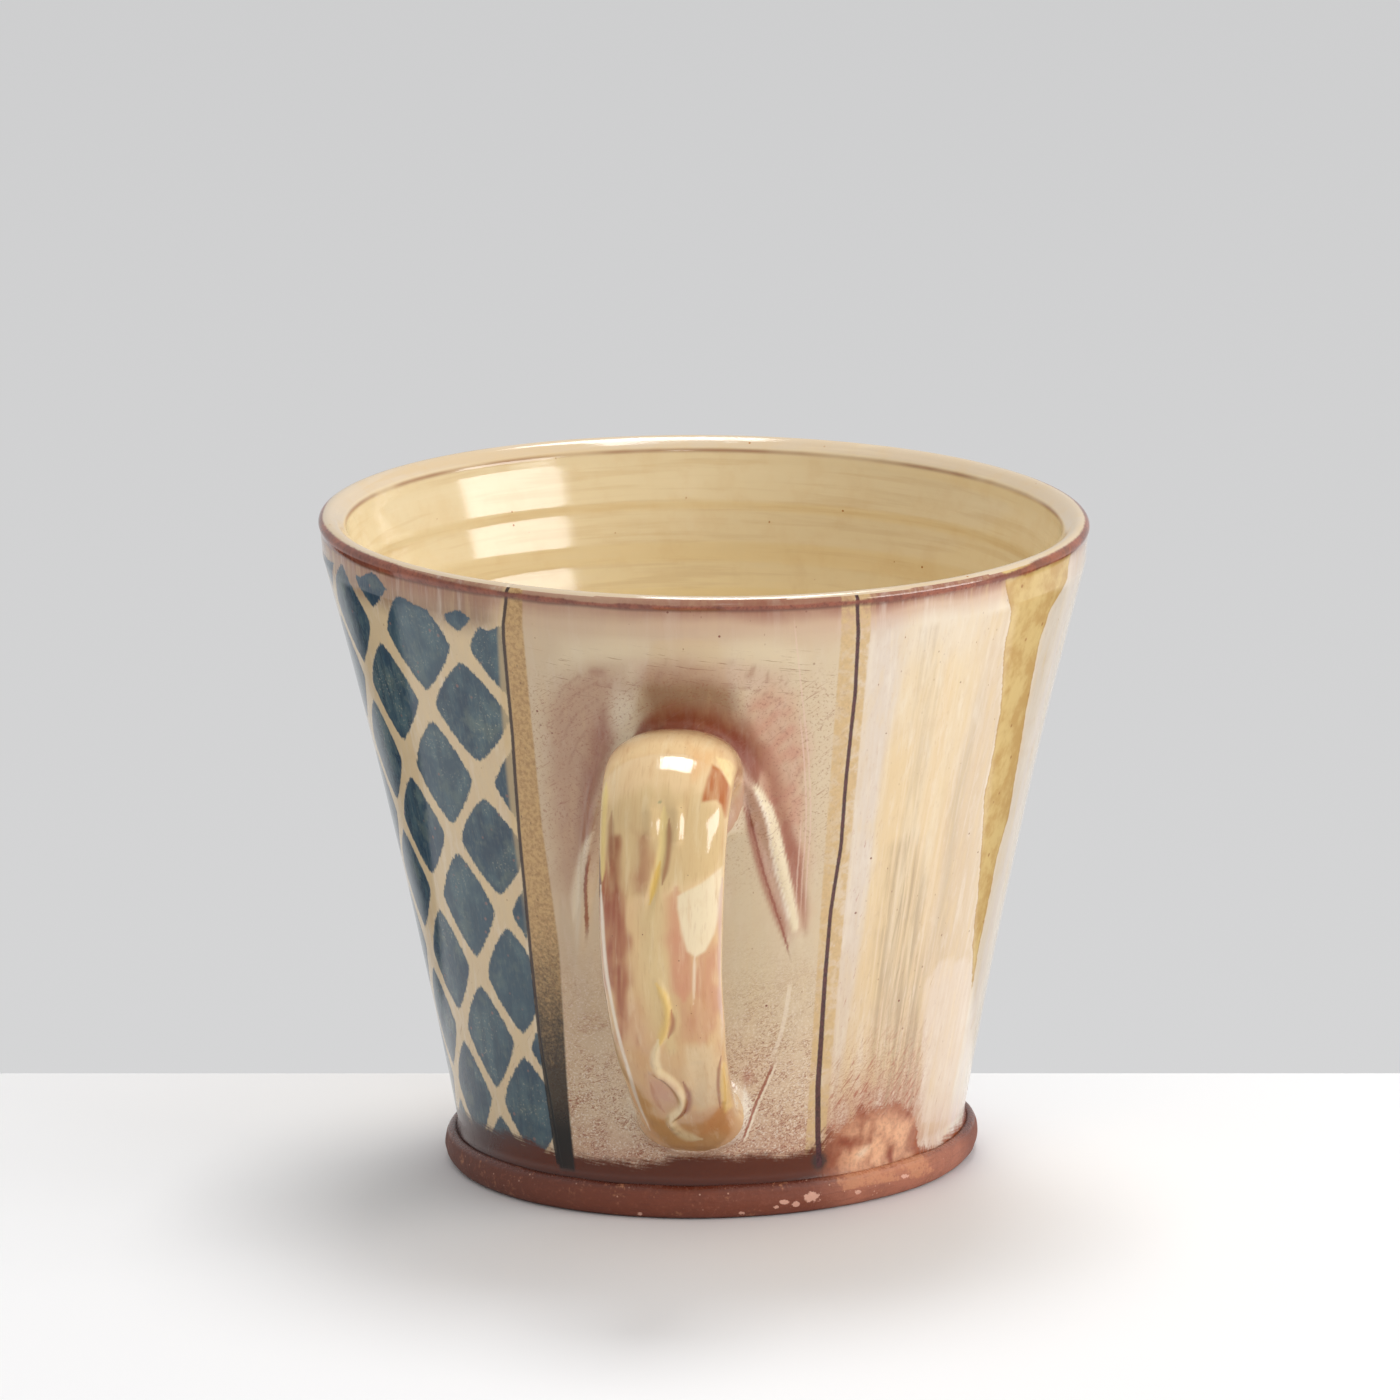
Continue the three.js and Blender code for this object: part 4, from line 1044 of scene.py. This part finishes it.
def clay_material():
    k = Nodes("bare_red_clay")
    P = k.attr("P", "Vector")
    mott = k.noise(P, 0.28, 4.0, 0.6)
    fine = k.noise(P, 1.5, 4.0, 0.65)
    grit = k.noise(P, 5.0, 3.0, 0.6)
    turned = k.noise(k.scale(P, (0.12, 0.12, 1.0)), 2.6, 3.0, 0.6)
    col = k.attr("clay", "Color")
    col = k.mix(k.step(mott, 0.42, 0.7, 0.0, 0.35), col, (112, 60, 44))
    col = k.mix(k.step(fine, 0.5, 0.72, 0.0, 0.35), col, (154, 92, 70))
    col = k.mix(k.step(turned, 0.5, 0.7, 0.0, 0.30), col, (104, 54, 40))
    pale = k.cells(P, 0.9)
    col = k.mix(k.mul(k.step(pale, 0.16, 0.07), k.step(mott, 0.45, 0.6)), col, (196, 150, 128))
    peach_m = k.step(k.add(k.attr("peach"), k.add(k.mul(k.add(mott, -0.5), 3.4), k.mul(k.add(fine, -0.5), 2.2))), 0.40, 1.15)
    col = k.mix(k.mul(peach_m, 0.50), col, (218, 152, 108))
    chip_m = k.step(k.add(k.attr("chip"), k.mul(k.add(fine, -0.5), 1.3)), 0.42, 0.56)
    col = k.mix(k.mul(chip_m, 0.9), col, (222, 170, 148))
    height = k.add(k.mul(fine, 0.16), k.mul(grit, 0.06))
    height = k.add(height, k.mul(turned, 0.12))
    nrm = k.bump(height, 0.001, 0.7)
    shine = k.attr("shine")
    rough = k.add(k.mul(k.math("SUBTRACT", 1.0, shine), 0.40), 0.18)
    return k.finish(col, k.add(rough, k.mul(fine, 0.10)), nrm, 1.5)


shine = np.maximum(smooth(FZ, 4.1, 4.7) * 0.9, (FZ > 3.5) * smooth(-FR, -38.3, -37.6))
foot_mat = clay_material()
n_r, n_c = FT.shape
fq = grid_faces(n_r, n_c)
wrap = []
for j in range(n_c):
    a, b_ = (n_r - 1) * n_c + j, (n_r - 1) * n_c + (j + 1) % n_c
    wrap.append((a, b_, (j + 1) % n_c, j))
foot_ob = make_mesh("mug_foot_ring", ring_xyz.reshape(-1, 3), np.vstack([fq, np.array(wrap)]), (),
                    {"P": ring_xyz.reshape(-1, 3), "clay": clay.rgba(), "shine": shine.ravel(), "chip": chip.ravel(), "peach": peach.ravel()}, foot_mat)
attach(foot_ob, "root")
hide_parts("foot_ring")


# --------------------------------------------------------------------- handle mesh
N_S, N_A = 480, 190
ss = np.linspace(0, STATIONS - 1, N_S)
i0 = np.minimum(ss.astype(int), STATIONS - 2)
fr = (ss - i0)[:, None]


def at_station(arr):
    a = arr[i0] * (1 - (fr if arr.ndim > 1 else fr[:, 0])) + arr[i0 + 1] * (fr if arr.ndim > 1 else fr[:, 0])
    return a


C, AL, OV, SU = (at_station(a) for a in (centre, along, out_v, side_u))
HU, HV = at_station(half_u), at_station(half_v)
# more samples on the outer face than behind
t = np.linspace(0, 1, N_A, endpoint=False)
ang = 2 * np.pi * t + 0.42 * np.sin(2 * np.pi * t - np.pi / 2) * 0 + 0.0
a_ = ang[None, :] + 0.35 * np.cos(ang[None, :])
ca, sa = np.cos(a_), np.sin(a_)
e = 2 / POWER
cu = np.sign(ca) * np.abs(ca) ** e
cv = np.sign(sa) * np.abs(sa) ** e
U = cu * HU[:, None]
V = cv * HV[:, None]
strap = C[:, None, :] + U[..., None] * SU[:, None, :] + V[..., None] * OV[:, None, :]
plain_normal = (cu / HU[:, None])[..., None] * SU[:, None, :] + (cv / HV[:, None])[..., None] * OV[:, None, :]
plain_normal /= np.linalg.norm(plain_normal, axis=-1)[..., None]
face_out = np.clip(cv, 0, 1) * np.ones_like(U)  # 1 on the outer face
ex, ey = elevation(strap)


def ridge(points, w, h):
    line = spline(points, 40)
    d, s = to_line(ex, ey, line)
    ends = smooth(s, 0.0, 0.12) * (1 - smooth(s, 0.88, 1.0))
    return h * bell(d, w) * (0.35 + 0.65 * ends)


relief = np.zeros_like(U)
relief += ridge([(606, 775), (604, 800), (602, 840), (602, 877), (604, 910)], 4.0, 0.32)
relief -= ridge([(664, 800), (663, 825), (662, 848), (656, 877), (650, 900), (648, 915)], 4.2, 0.25)
relief += ridge([(651, 808), (651, 824), (650, 840)], 6.0, 0.44)
relief += ridge([(677, 806), (677, 826), (676, 846)], 5.5, 0.44)
relief += ridge([(657, 982), (665, 1000), (667, 1017), (664, 1033), (657, 1047), (655, 1061), (659, 1073)], 3.8, 0.45)
relief += ridge([(652, 1070), (664, 1076), (676, 1088), (682, 1101), (680, 1110), (671, 1119), (676, 1130)], 4.0, 0.60)
relief += ridge([(719, 1062), (724, 1080), (724, 1105)], 4.0, 0.25)
relief -= ridge([(632, 830), (633, 870), (638, 920), (642, 960)], 9.0, 0.22)
relief -= ridge([(696, 1060), (698, 1085), (694, 1112)], 8.0, 0.20)
relief += 0.05 * wobble(strap[..., 0], strap[..., 1], strap[..., 2] * 0.35, 3.4, 41)
relief *= np.where(face_out > 0, smooth(face_out, 0.05, 0.5), 0)
relief += 0.10 * wobble(strap[..., 0], strap[..., 1], strap[..., 2], 9.0, 42)
strap = strap + plain_normal * relief[..., None]
ex, ey = elevation(strap)

honey = Paint(U.shape, (230, 197, 148))
front_m = smooth(face_out, 0.02, 0.35)
hn = wobble(ex, ey * 0.45, 0 * ex, 9, 81)
hn2 = wobble(ex, ey * 0.2, 0 * ex, 3.2, 82)


def zone(points, feather, rough_=0.6):
    return smooth(inside(ex, ey, points) + feather * rough_ * hn, -feather, feather) * front_m


def brush(points, w, soft_=1.0, taper=0.25):
    line = spline(points, 60)
    d, t_ = to_line(ex, ey, line)
    ww = w * np.clip(np.minimum(t_, 1 - t_) / taper, 0.15, 1) ** 0.7 * (1 + 0.18 * hn)
    return (1 - smooth(d, ww * (1 - 0.7 * soft_), ww * (1 + 0.8 * soft_))) * front_m


# honey glaze pooled and broken over the ridges: first the broad tones
honey.coat((204, 174, 118), 0.50 * zone([(604, 806), (640, 786), (690, 790), (722, 812), (726, 862), (721, 868), (700, 882), (671, 889), (654, 894), (630, 900), (600, 890)], 9))
honey.coat((210, 166, 114), 0.64 * smooth(ey, 880, 930) * front_m)
# painted shade: darker towards the lower end, where the strap turns down to the wall
honey.coat((188, 138, 88), 0.58 * smooth(ey, 1050, 1140) * front_m)
honey.coat((220, 192, 138), 0.80 * brush([(657, 890), (654, 920), (655, 955), (660, 1000), (672, 1050)], 17, 1.1, 0.2))
honey.coat((212, 166, 128), 0.60 * zone([(612, 990), (640, 1000), (650, 1050), (640, 1070), (622, 1050)], 10))
honey.coat((196, 134, 100), 0.74 * zone([(678, 940), (694, 960), (722, 935), (725, 990), (723, 1030), (704, 1042), (684, 1024), (677, 990)], 15, 0.9) * (0.9 + 0.2 * hn2))
honey.coat((206, 158, 100), 0.75 * zone([(622, 1040), (645, 1058), (652, 1085), (668, 1118), (694, 1146), (660, 1142), (638, 1108)], 7))
honey.coat((222, 194, 150), 0.80 * zone([(688, 1048), (714, 1044), (719, 1075), (716, 1106), (700, 1112), (694, 1095), (686, 1075)], 6))
# red-brown where it ran thin on the left, in two pools
streaky = 0.80 + 0.30 * wobble(ex, ey * 0.12, 0 * ex, 2.6, 83) + 0.15 * hn
honey.coat((174, 106, 70), 0.88 * zone([(600, 862), (614, 838), (621, 858), (624, 900), (626, 950), (628, 1005), (629, 1040), (616, 1040), (604, 960)], 9, 1.0) * streaky)
honey.coat((158, 84, 54), 0.80 * zone([(602, 900), (616, 890), (622, 920), (621, 958), (606, 950)], 8, 0.8) * streaky)
honey.coat((150, 74, 44), 0.85 * zone([(608, 972), (620, 966), (623, 992), (624, 1018), (614, 1016)], 6, 0.8) * streaky)
honey.coat((150, 86, 52), 0.70 * zone([(611, 838), (619, 836), (620, 870), (617, 892), (610, 886)], 4, 0.8) * streaky)
# mauve streaks below the bend
honey.coat((184, 126, 90), 0.62 * zone([(634, 832), (648, 830), (649, 862), (645, 896), (633, 894)], 7, 1.0))
honey.coat((166, 100, 68), 0.35 * brush([(643, 836), (643, 858), (641, 884)], 4.0, 1.6, 0.1))
honey.coat((208, 144, 108), 0.75 * brush([(676, 888), (675, 925), (679, 965), (684, 1000)], 7.5, 1.5, 0.1))
honey.coat((214, 170, 128), 0.5 * brush([(700, 1000), (702, 1022), (700, 1045)], 6, 1.3, 0.3))
# left edge
honey.coat((232, 204, 132), 0.90 * brush([(606, 783), (604, 812), (602.5, 848), (602, 880)], 2.6, 0.9, 0.12))
honey.coat((150, 92, 60), 0.65 * brush([(611.5, 812), (610.5, 834), (610, 866)], 2.4, 1.4, 0.25))
honey.coat((92, 52, 42), 0.85 * brush([(599, 850), (598.6, 872), (599.5, 897)], 1.6, 0.8, 0.25))
# centre ridge: yellow, with a thin dark line under its right side
honey.coat((232, 204, 136), 0.90 * brush([(664, 806), (663, 828), (662, 850), (656, 878), (650, 902)], 3.8, 0.9, 0.15))
honey.coat((228, 184, 84), 0.80 * brush([(660, 862), (655, 882), (649.5, 904)], 2.8, 1.0, 0.3))
honey.coat((148, 92, 58), 0.75 * brush([(668.8, 820), (669, 840), (667, 862), (662, 884)], 2.6, 1.4, 0.2))
# pale tongue and its drip
honey.coat((234, 214, 176), 0.95 * zone([(677, 896), (700, 884), (722, 867), (722, 897), (714, 934), (705, 951), (695, 957), (687, 951), (682, 932), (677, 908)], 2.0, 0.2))
honey.coat((232, 208, 176), 0.80 * brush([(694.5, 952), (694, 978), (693.5, 1004)], 1.6, 0.9, 0.3))
honey.coat((208, 170, 160), 0.70 * brush([(722.5, 878), (721.5, 930), (722, 985), (724.5, 1032)], 3.2, 1.0, 0.15))
# painted highlight: a thin near-white line along the strap's left edge
honey.coat((242, 228, 206), 0.85 * brush([(600.5, 885), (603, 935), (606, 970), (611, 1000), (617.5, 1032), (627, 1066), (638, 1102), (650, 1130)], 1.5, 0.8, 0.15))
# the folded ridge near the lower end
honey.coat((228, 190, 108), 0.85 * brush([(656, 984), (665, 1000), (667.5, 1017), (664, 1033), (657, 1048)], 4.4, 0.9, 0.2))
honey.coat((234, 210, 164), 0.90 * brush([(658, 1040), (655, 1060), (659, 1072), (669, 1080), (678, 1090), (682.5, 1101), (680, 1110), (671, 1119), (675, 1128), (686, 1136), (702, 1139)], 3.9, 0.9, 0.1))
honey.coat((160, 88, 58), 0.75 * brush([(671, 1010), (672.5, 1024), (668, 1038)], 2.8, 1.4, 0.35))
# painted shadow: a dark brown line down the right side of the folded ridge
honey.coat((142, 70, 46), 0.80 * brush([(683, 1082), (688.5, 1096), (687, 1108), (678, 1118)], 2.6, 1.3, 0.3))
honey.coat((200, 146, 118), 0.80 * zone([(648, 1076), (662, 1079), (674, 1090), (675, 1103), (664, 1108), (651, 1096)], 7))
honey.coat((176, 104, 60), 0.60 * brush([(650, 1082), (656, 1100), (664, 1112)], 2.0, 1.0, 0.3))
honey.coat((196, 132, 76), 0.70 * zone([(700, 1118), (716, 1108), (732, 1109), (731, 1129), (716, 1138), (701, 1135)], 9))
honey.coat((230, 192, 114), 0.90 * zone([(722, 1062), (731, 1064), (735, 1085), (734, 1106), (725, 1112), (720, 1090)], 2.5, 0.3))
honey.coat((150, 84, 46), 0.75 * brush([(721, 1056), (718, 1078), (720, 1108)], 1.6, 1.0, 0.25))
honey.coat((186, 104, 54), 0.85 * brush([(727, 1032), (732, 1048), (735, 1068), (736, 1092)], 2.4, 1.0, 0.25))
# orange patch and cream lobe on the right of the bend
honey.coat((178, 98, 44), 0.92 * zone([(712, 764), (724, 772), (734, 790), (730, 816), (725, 818), (721, 805), (716, 800), (702, 801), (706, 780)], 2.0, 0.4) * (0.86 + 0.22 * hn2))
honey.coat((242, 218, 160), 0.92 * zone([(716, 757), (730, 760), (738, 771), (738, 783), (733, 791), (723, 773)], 1.8, 0.3))
honey.coat((226, 170, 110), 0.5 * zone([(690, 745), (715, 752), (708, 770), (694, 780), (688, 765)], 6))
honey.coat((150, 146, 104), 0.8 * brush([(658, 801), (661, 803)], 2.2, 1.0, 0.5))
# back of the strap and the sides: plain honey with a browner underside
behind = 1 - smooth(face_out, 0.0, 0.15)
honey.coat((206, 164, 108), 0.55 * behind)
honey.coat((196, 150, 96), 0.35 * behind * smooth(wobble(strap[..., 0], strap[..., 1], strap[..., 2], 6, 51), -0.2, 0.7))

# upper root: the wall's own cream slip
hs = np.repeat(np.arange(N_S)[:, None], N_A, 1)
rho2 = np.repeat(-C[:, 1][:, None], N_A, 1)
upper = (hs < N_S * 0.3)
slip_part = np.where(upper, 1 - smooth(rho2, 52.0, 58.0), 0)
honey.coat((226, 206, 168), 0.9 * slip_part)
honey.coat((196, 152, 128), 0.80 * np.where(upper, 1 - smooth(rho2, 50.0, 57.5), 0))

ends_pole = np.vstack([C[0][None], C[-1][None]])
flow = np.stack([U, np.repeat((np.concatenate([[0], np.cumsum(np.linalg.norm(np.diff(C, axis=0), axis=1))]))[:, None], N_A, 1), V], -1)


def honey_material(name, tint):
    k = Nodes(name)
    P = k.attr("P", "Vector")
    F = k.attr("flow", "Vector")
    long_ = k.scale(F, (1.0, 0.13, 1.0))
    streak = k.noise(long_, 0.8, 4.0, 0.62, 0.3)
    hair = k.noise(long_, 3.2, 3.0, 0.6)
    fine = k.noise(P, 1.8, 4.0, 0.62)
    mott = k.noise(P, 0.35, 3.0, 0.6)
    col = k.attr("honey", "Color")
    col = k.mix(k.step(streak, 0.50, 0.72, 0.0, 0.26), col, (196, 138, 84))
    col = k.mix(k.step(streak, 0.46, 0.28, 0.0, 0.22), col, (240, 224, 186))
    col = k.mix(k.step(hair, 0.54, 0.74, 0.0, 0.18), col, (170, 112, 76))
    col = k.mix(k.step(mott, 0.5, 0.75, 0.0, 0.16), col, (210, 170, 118))
    dots = k.cells(P, 0.6)
    col = k.mix(k.mul(k.step(dots, 0.07, 0.04), k.step(mott, 0.48, 0.6)), col, (132, 84, 58))
    height = k.add(k.mul(streak, 0.05), k.mul(hair, 0.010))
    height = k.add(height, k.mul(fine, 0.012))
    nrm = k.bump(height, 0.001, 0.6)
    rough = k.add(0.04, k.mul(fine, 0.06))
    return k.finish(col, rough, nrm, 1.58)


strap_v = strap.reshape(-1, 3)
strap_q = grid_faces(N_S, N_A)
# smooth normals of the whole handle, kept when it is divided into its pieces
whole = bpy.data.meshes.new("whole_handle")
whole.from_pydata(strap_v.tolist(), [], strap_q.tolist())
whole.update()
vn = np.zeros(len(strap_v) * 3, np.float32)
whole.vertices.foreach_get("normal", vn)
vn = vn.reshape(-1, 3)
mid_normal = (vn.reshape(N_S, N_A, 3) * plain_normal).sum(-1).mean()
if mid_normal < 0:
    strap_q = strap_q[:, ::-1]
    vn = -vn
bpy.data.meshes.remove(whole)

cut_a = int(np.argmin(np.abs(-C[: int(N_S * 0.3), 1] - 57.0)))
cut_b = int(N_S * 0.6 + np.argmin(np.abs(-C[int(N_S * 0.6) :, 1] - 47.5)))
parts = [
    ("mug_handle_upper_root", 0, cut_a, "handle_upper_root", "slip_glazed_root"),
    ("mug_handle_strap", cut_a, cut_b, "handle_strap", "honey_glazed_strap"),
    ("mug_handle_lower_terminal", cut_b, N_S - 1, "handle_lower_terminal", "honey_glazed_terminal"),
]
honey_rgba = honey.rgba()
for name, a, b_, node, slot_ in parts:
    first, count = a * N_A, (b_ - a + 1) * N_A
    sel = slice(first, first + count)
    q = grid_faces(b_ - a + 1, N_A)
    if mid_normal < 0:
        q = q[:, ::-1]
    v = strap_v[sel]
    n = vn[sel]
    caps = []
    for row, c_pt in ((0, C[a]), (b_ - a, C[b_])):
        v = np.vstack([v, c_pt[None]])
        n = np.vstack([n, (AL[a] * -1 if row == 0 else AL[b_])[None]])
        pole = len(v) - 1
        for j in range(N_A):
            j2 = (j + 1) % N_A
            tri = (pole, row * N_A + j2, row * N_A + j) if (row == 0) != (mid_normal < 0) else (pole, row * N_A + j, row * N_A + j2)
            caps.append(tri)
    ext = lambda arr: np.vstack([arr[sel], np.repeat(arr[sel].mean(0)[None], 2, 0)])
    # the end pressed into the wall stops within the clay, short of the inside
    far = np.hypot(v[:, 0], v[:, 1])
    limit = wall_outer(v[:, 2]) - 0.6
    room = np.maximum(limit - np.where(v[:, 2] > 14, inner_radius(v[:, 2]), wall_inner(v[:, 2])) - 1.2, 0.4)
    deep = np.maximum(limit - far, 0)
    near = np.where(deep > 0, limit - room * deep / (deep + room), far)
    v = v * np.stack([near / far, near / far, np.ones(len(v))], -1)
    mat = honey_material(slot_, None)
    ob = make_mesh(name, v, q, caps, {"P": v, "honey": ext(honey_rgba), "flow": ext(flow.reshape(-1, 3))}, mat)
    ob.data.normals_split_custom_set_from_vertices(n.tolist())
    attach(ob, "root")
    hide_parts(node)


# --------------------------------------------------------------------- studio
def turned(x, y, z):
    c, s = math.cos(TILT), math.sin(TILT)
    return (x * c - y * s, x * s + y * c, z)


table = bpy.data.meshes.new("table")
table.from_pydata([turned(-2.2, -2.6, 0), turned(2.2, -2.6, 0), turned(2.2, 0.0452, 0), turned(-2.2, 0.0452, 0)], [], [(0, 1, 2, 3)])
table_ob = bpy.data.objects.new("table", table)
bpy.context.scene.collection.objects.link(table_ob)
tk = Nodes("pale_table")
tk.finish((0.90, 0.895, 0.895, 1.0), 0.75, None, 1.3)
table.materials.append(tk.mat)


def area(name, azimuth, elevation_deg, distance, width, height, power, colour=(1, 1, 1)):
    """A softbox aimed at the mug. Azimuth is from +X towards +Y, in the mug's own turned frame."""
    a, e_ = math.radians(azimuth), math.radians(elevation_deg)
    loc = turned(distance * math.cos(e_) * math.cos(a), distance * math.cos(e_) * math.sin(a), 0.05 + distance * math.sin(e_))
    light = bpy.data.lights.new(name, "AREA")
    light.shape = "RECTANGLE"
    light.size, light.size_y = width, height
    light.energy = power
    light.color = colour
    ob = bpy.data.objects.new(name, light)
    ob.location = loc
    from mathutils import Vector
    direction = Vector((0, 0, 0.05)) - Vector(loc)
    ob.rotation_euler = direction.to_track_quat("-Z", "Y").to_euler()
    bpy.context.scene.collection.objects.link(ob)
    return ob


area("key", -23, 18, 1.25, 0.86, 0.36, 6.8)
area("overhead", 82, 67, 1.3, 0.42, 0.56, 7.5)
area("small_front", -86, 29, 1.3, 0.10, 0.12, 0.36)

world = bpy.data.worlds.new("studio")
bpy.context.scene.world = world
world.use_nodes = True
wt = world.node_tree
wt.nodes.clear()
w_out = wt.nodes.new("ShaderNodeOutputWorld")
w_bg = wt.nodes.new("ShaderNodeBackground")
w_geo = wt.nodes.new("ShaderNodeTexCoord")
w_sep = wt.nodes.new("ShaderNodeSeparateXYZ")
w_ramp = wt.nodes.new("ShaderNodeValToRGB")
w_map = wt.nodes.new("ShaderNodeMapRange")
wt.links.new(w_geo.outputs["Generated"], w_sep.inputs[0])
wt.links.new(w_sep.outputs[2], w_map.inputs[0])
w_map.inputs[1].default_value = -1.0
w_map.inputs[2].default_value = 1.0
wt.links.new(w_map.outputs[0], w_ramp.inputs[0])


def at_sine(z):
    return (z + 1) / 2


stops = [
    (0.0, 0.03),
    (at_sine(math.sin(math.radians(-21.5))), 0.03),
    (at_sine(math.sin(math.radians(-19.0))), 0.60),
    (at_sine(math.sin(math.radians(-16.0))), 0.68),
    (at_sine(math.sin(math.radians(-10.5))), 0.617),
    (at_sine(math.sin(math.radians(5.0))), 0.57),
    (1.0, 0.64),
]
cr = w_ramp.color_ramp
while len(cr.elements) < len(stops):
    cr.elements.new(0.5)
for el, (pos, val) in zip(cr.elements, stops):
    el.position = pos
    el.color = (val, val * 1.002, val * 1.01, 1)
wt.links.new(w_ramp.outputs[0], w_bg.inputs[0])
w_bg.inputs[1].default_value = 1.0
wt.links.new(w_bg.outputs[0], w_out.inputs[0])

cam = bpy.data.cameras.new("camera")
cam.lens = 385.1
cam.sensor_width = 36
cam.clip_start = 0.1
cam.clip_end = 20
cam_ob = bpy.data.objects.new("camera", cam)
cam_ob.location = (0.18942, -2.13553, 0.57761)
cam_ob.rotation_euler = (math.radians(90 - 13.353), 0, TILT)
bpy.context.scene.collection.objects.link(cam_ob)
bpy.context.scene.camera = cam_ob
bpy.context.scene.view_settings.view_transform = "Standard"
bpy.context.scene.view_settings.look = "None"
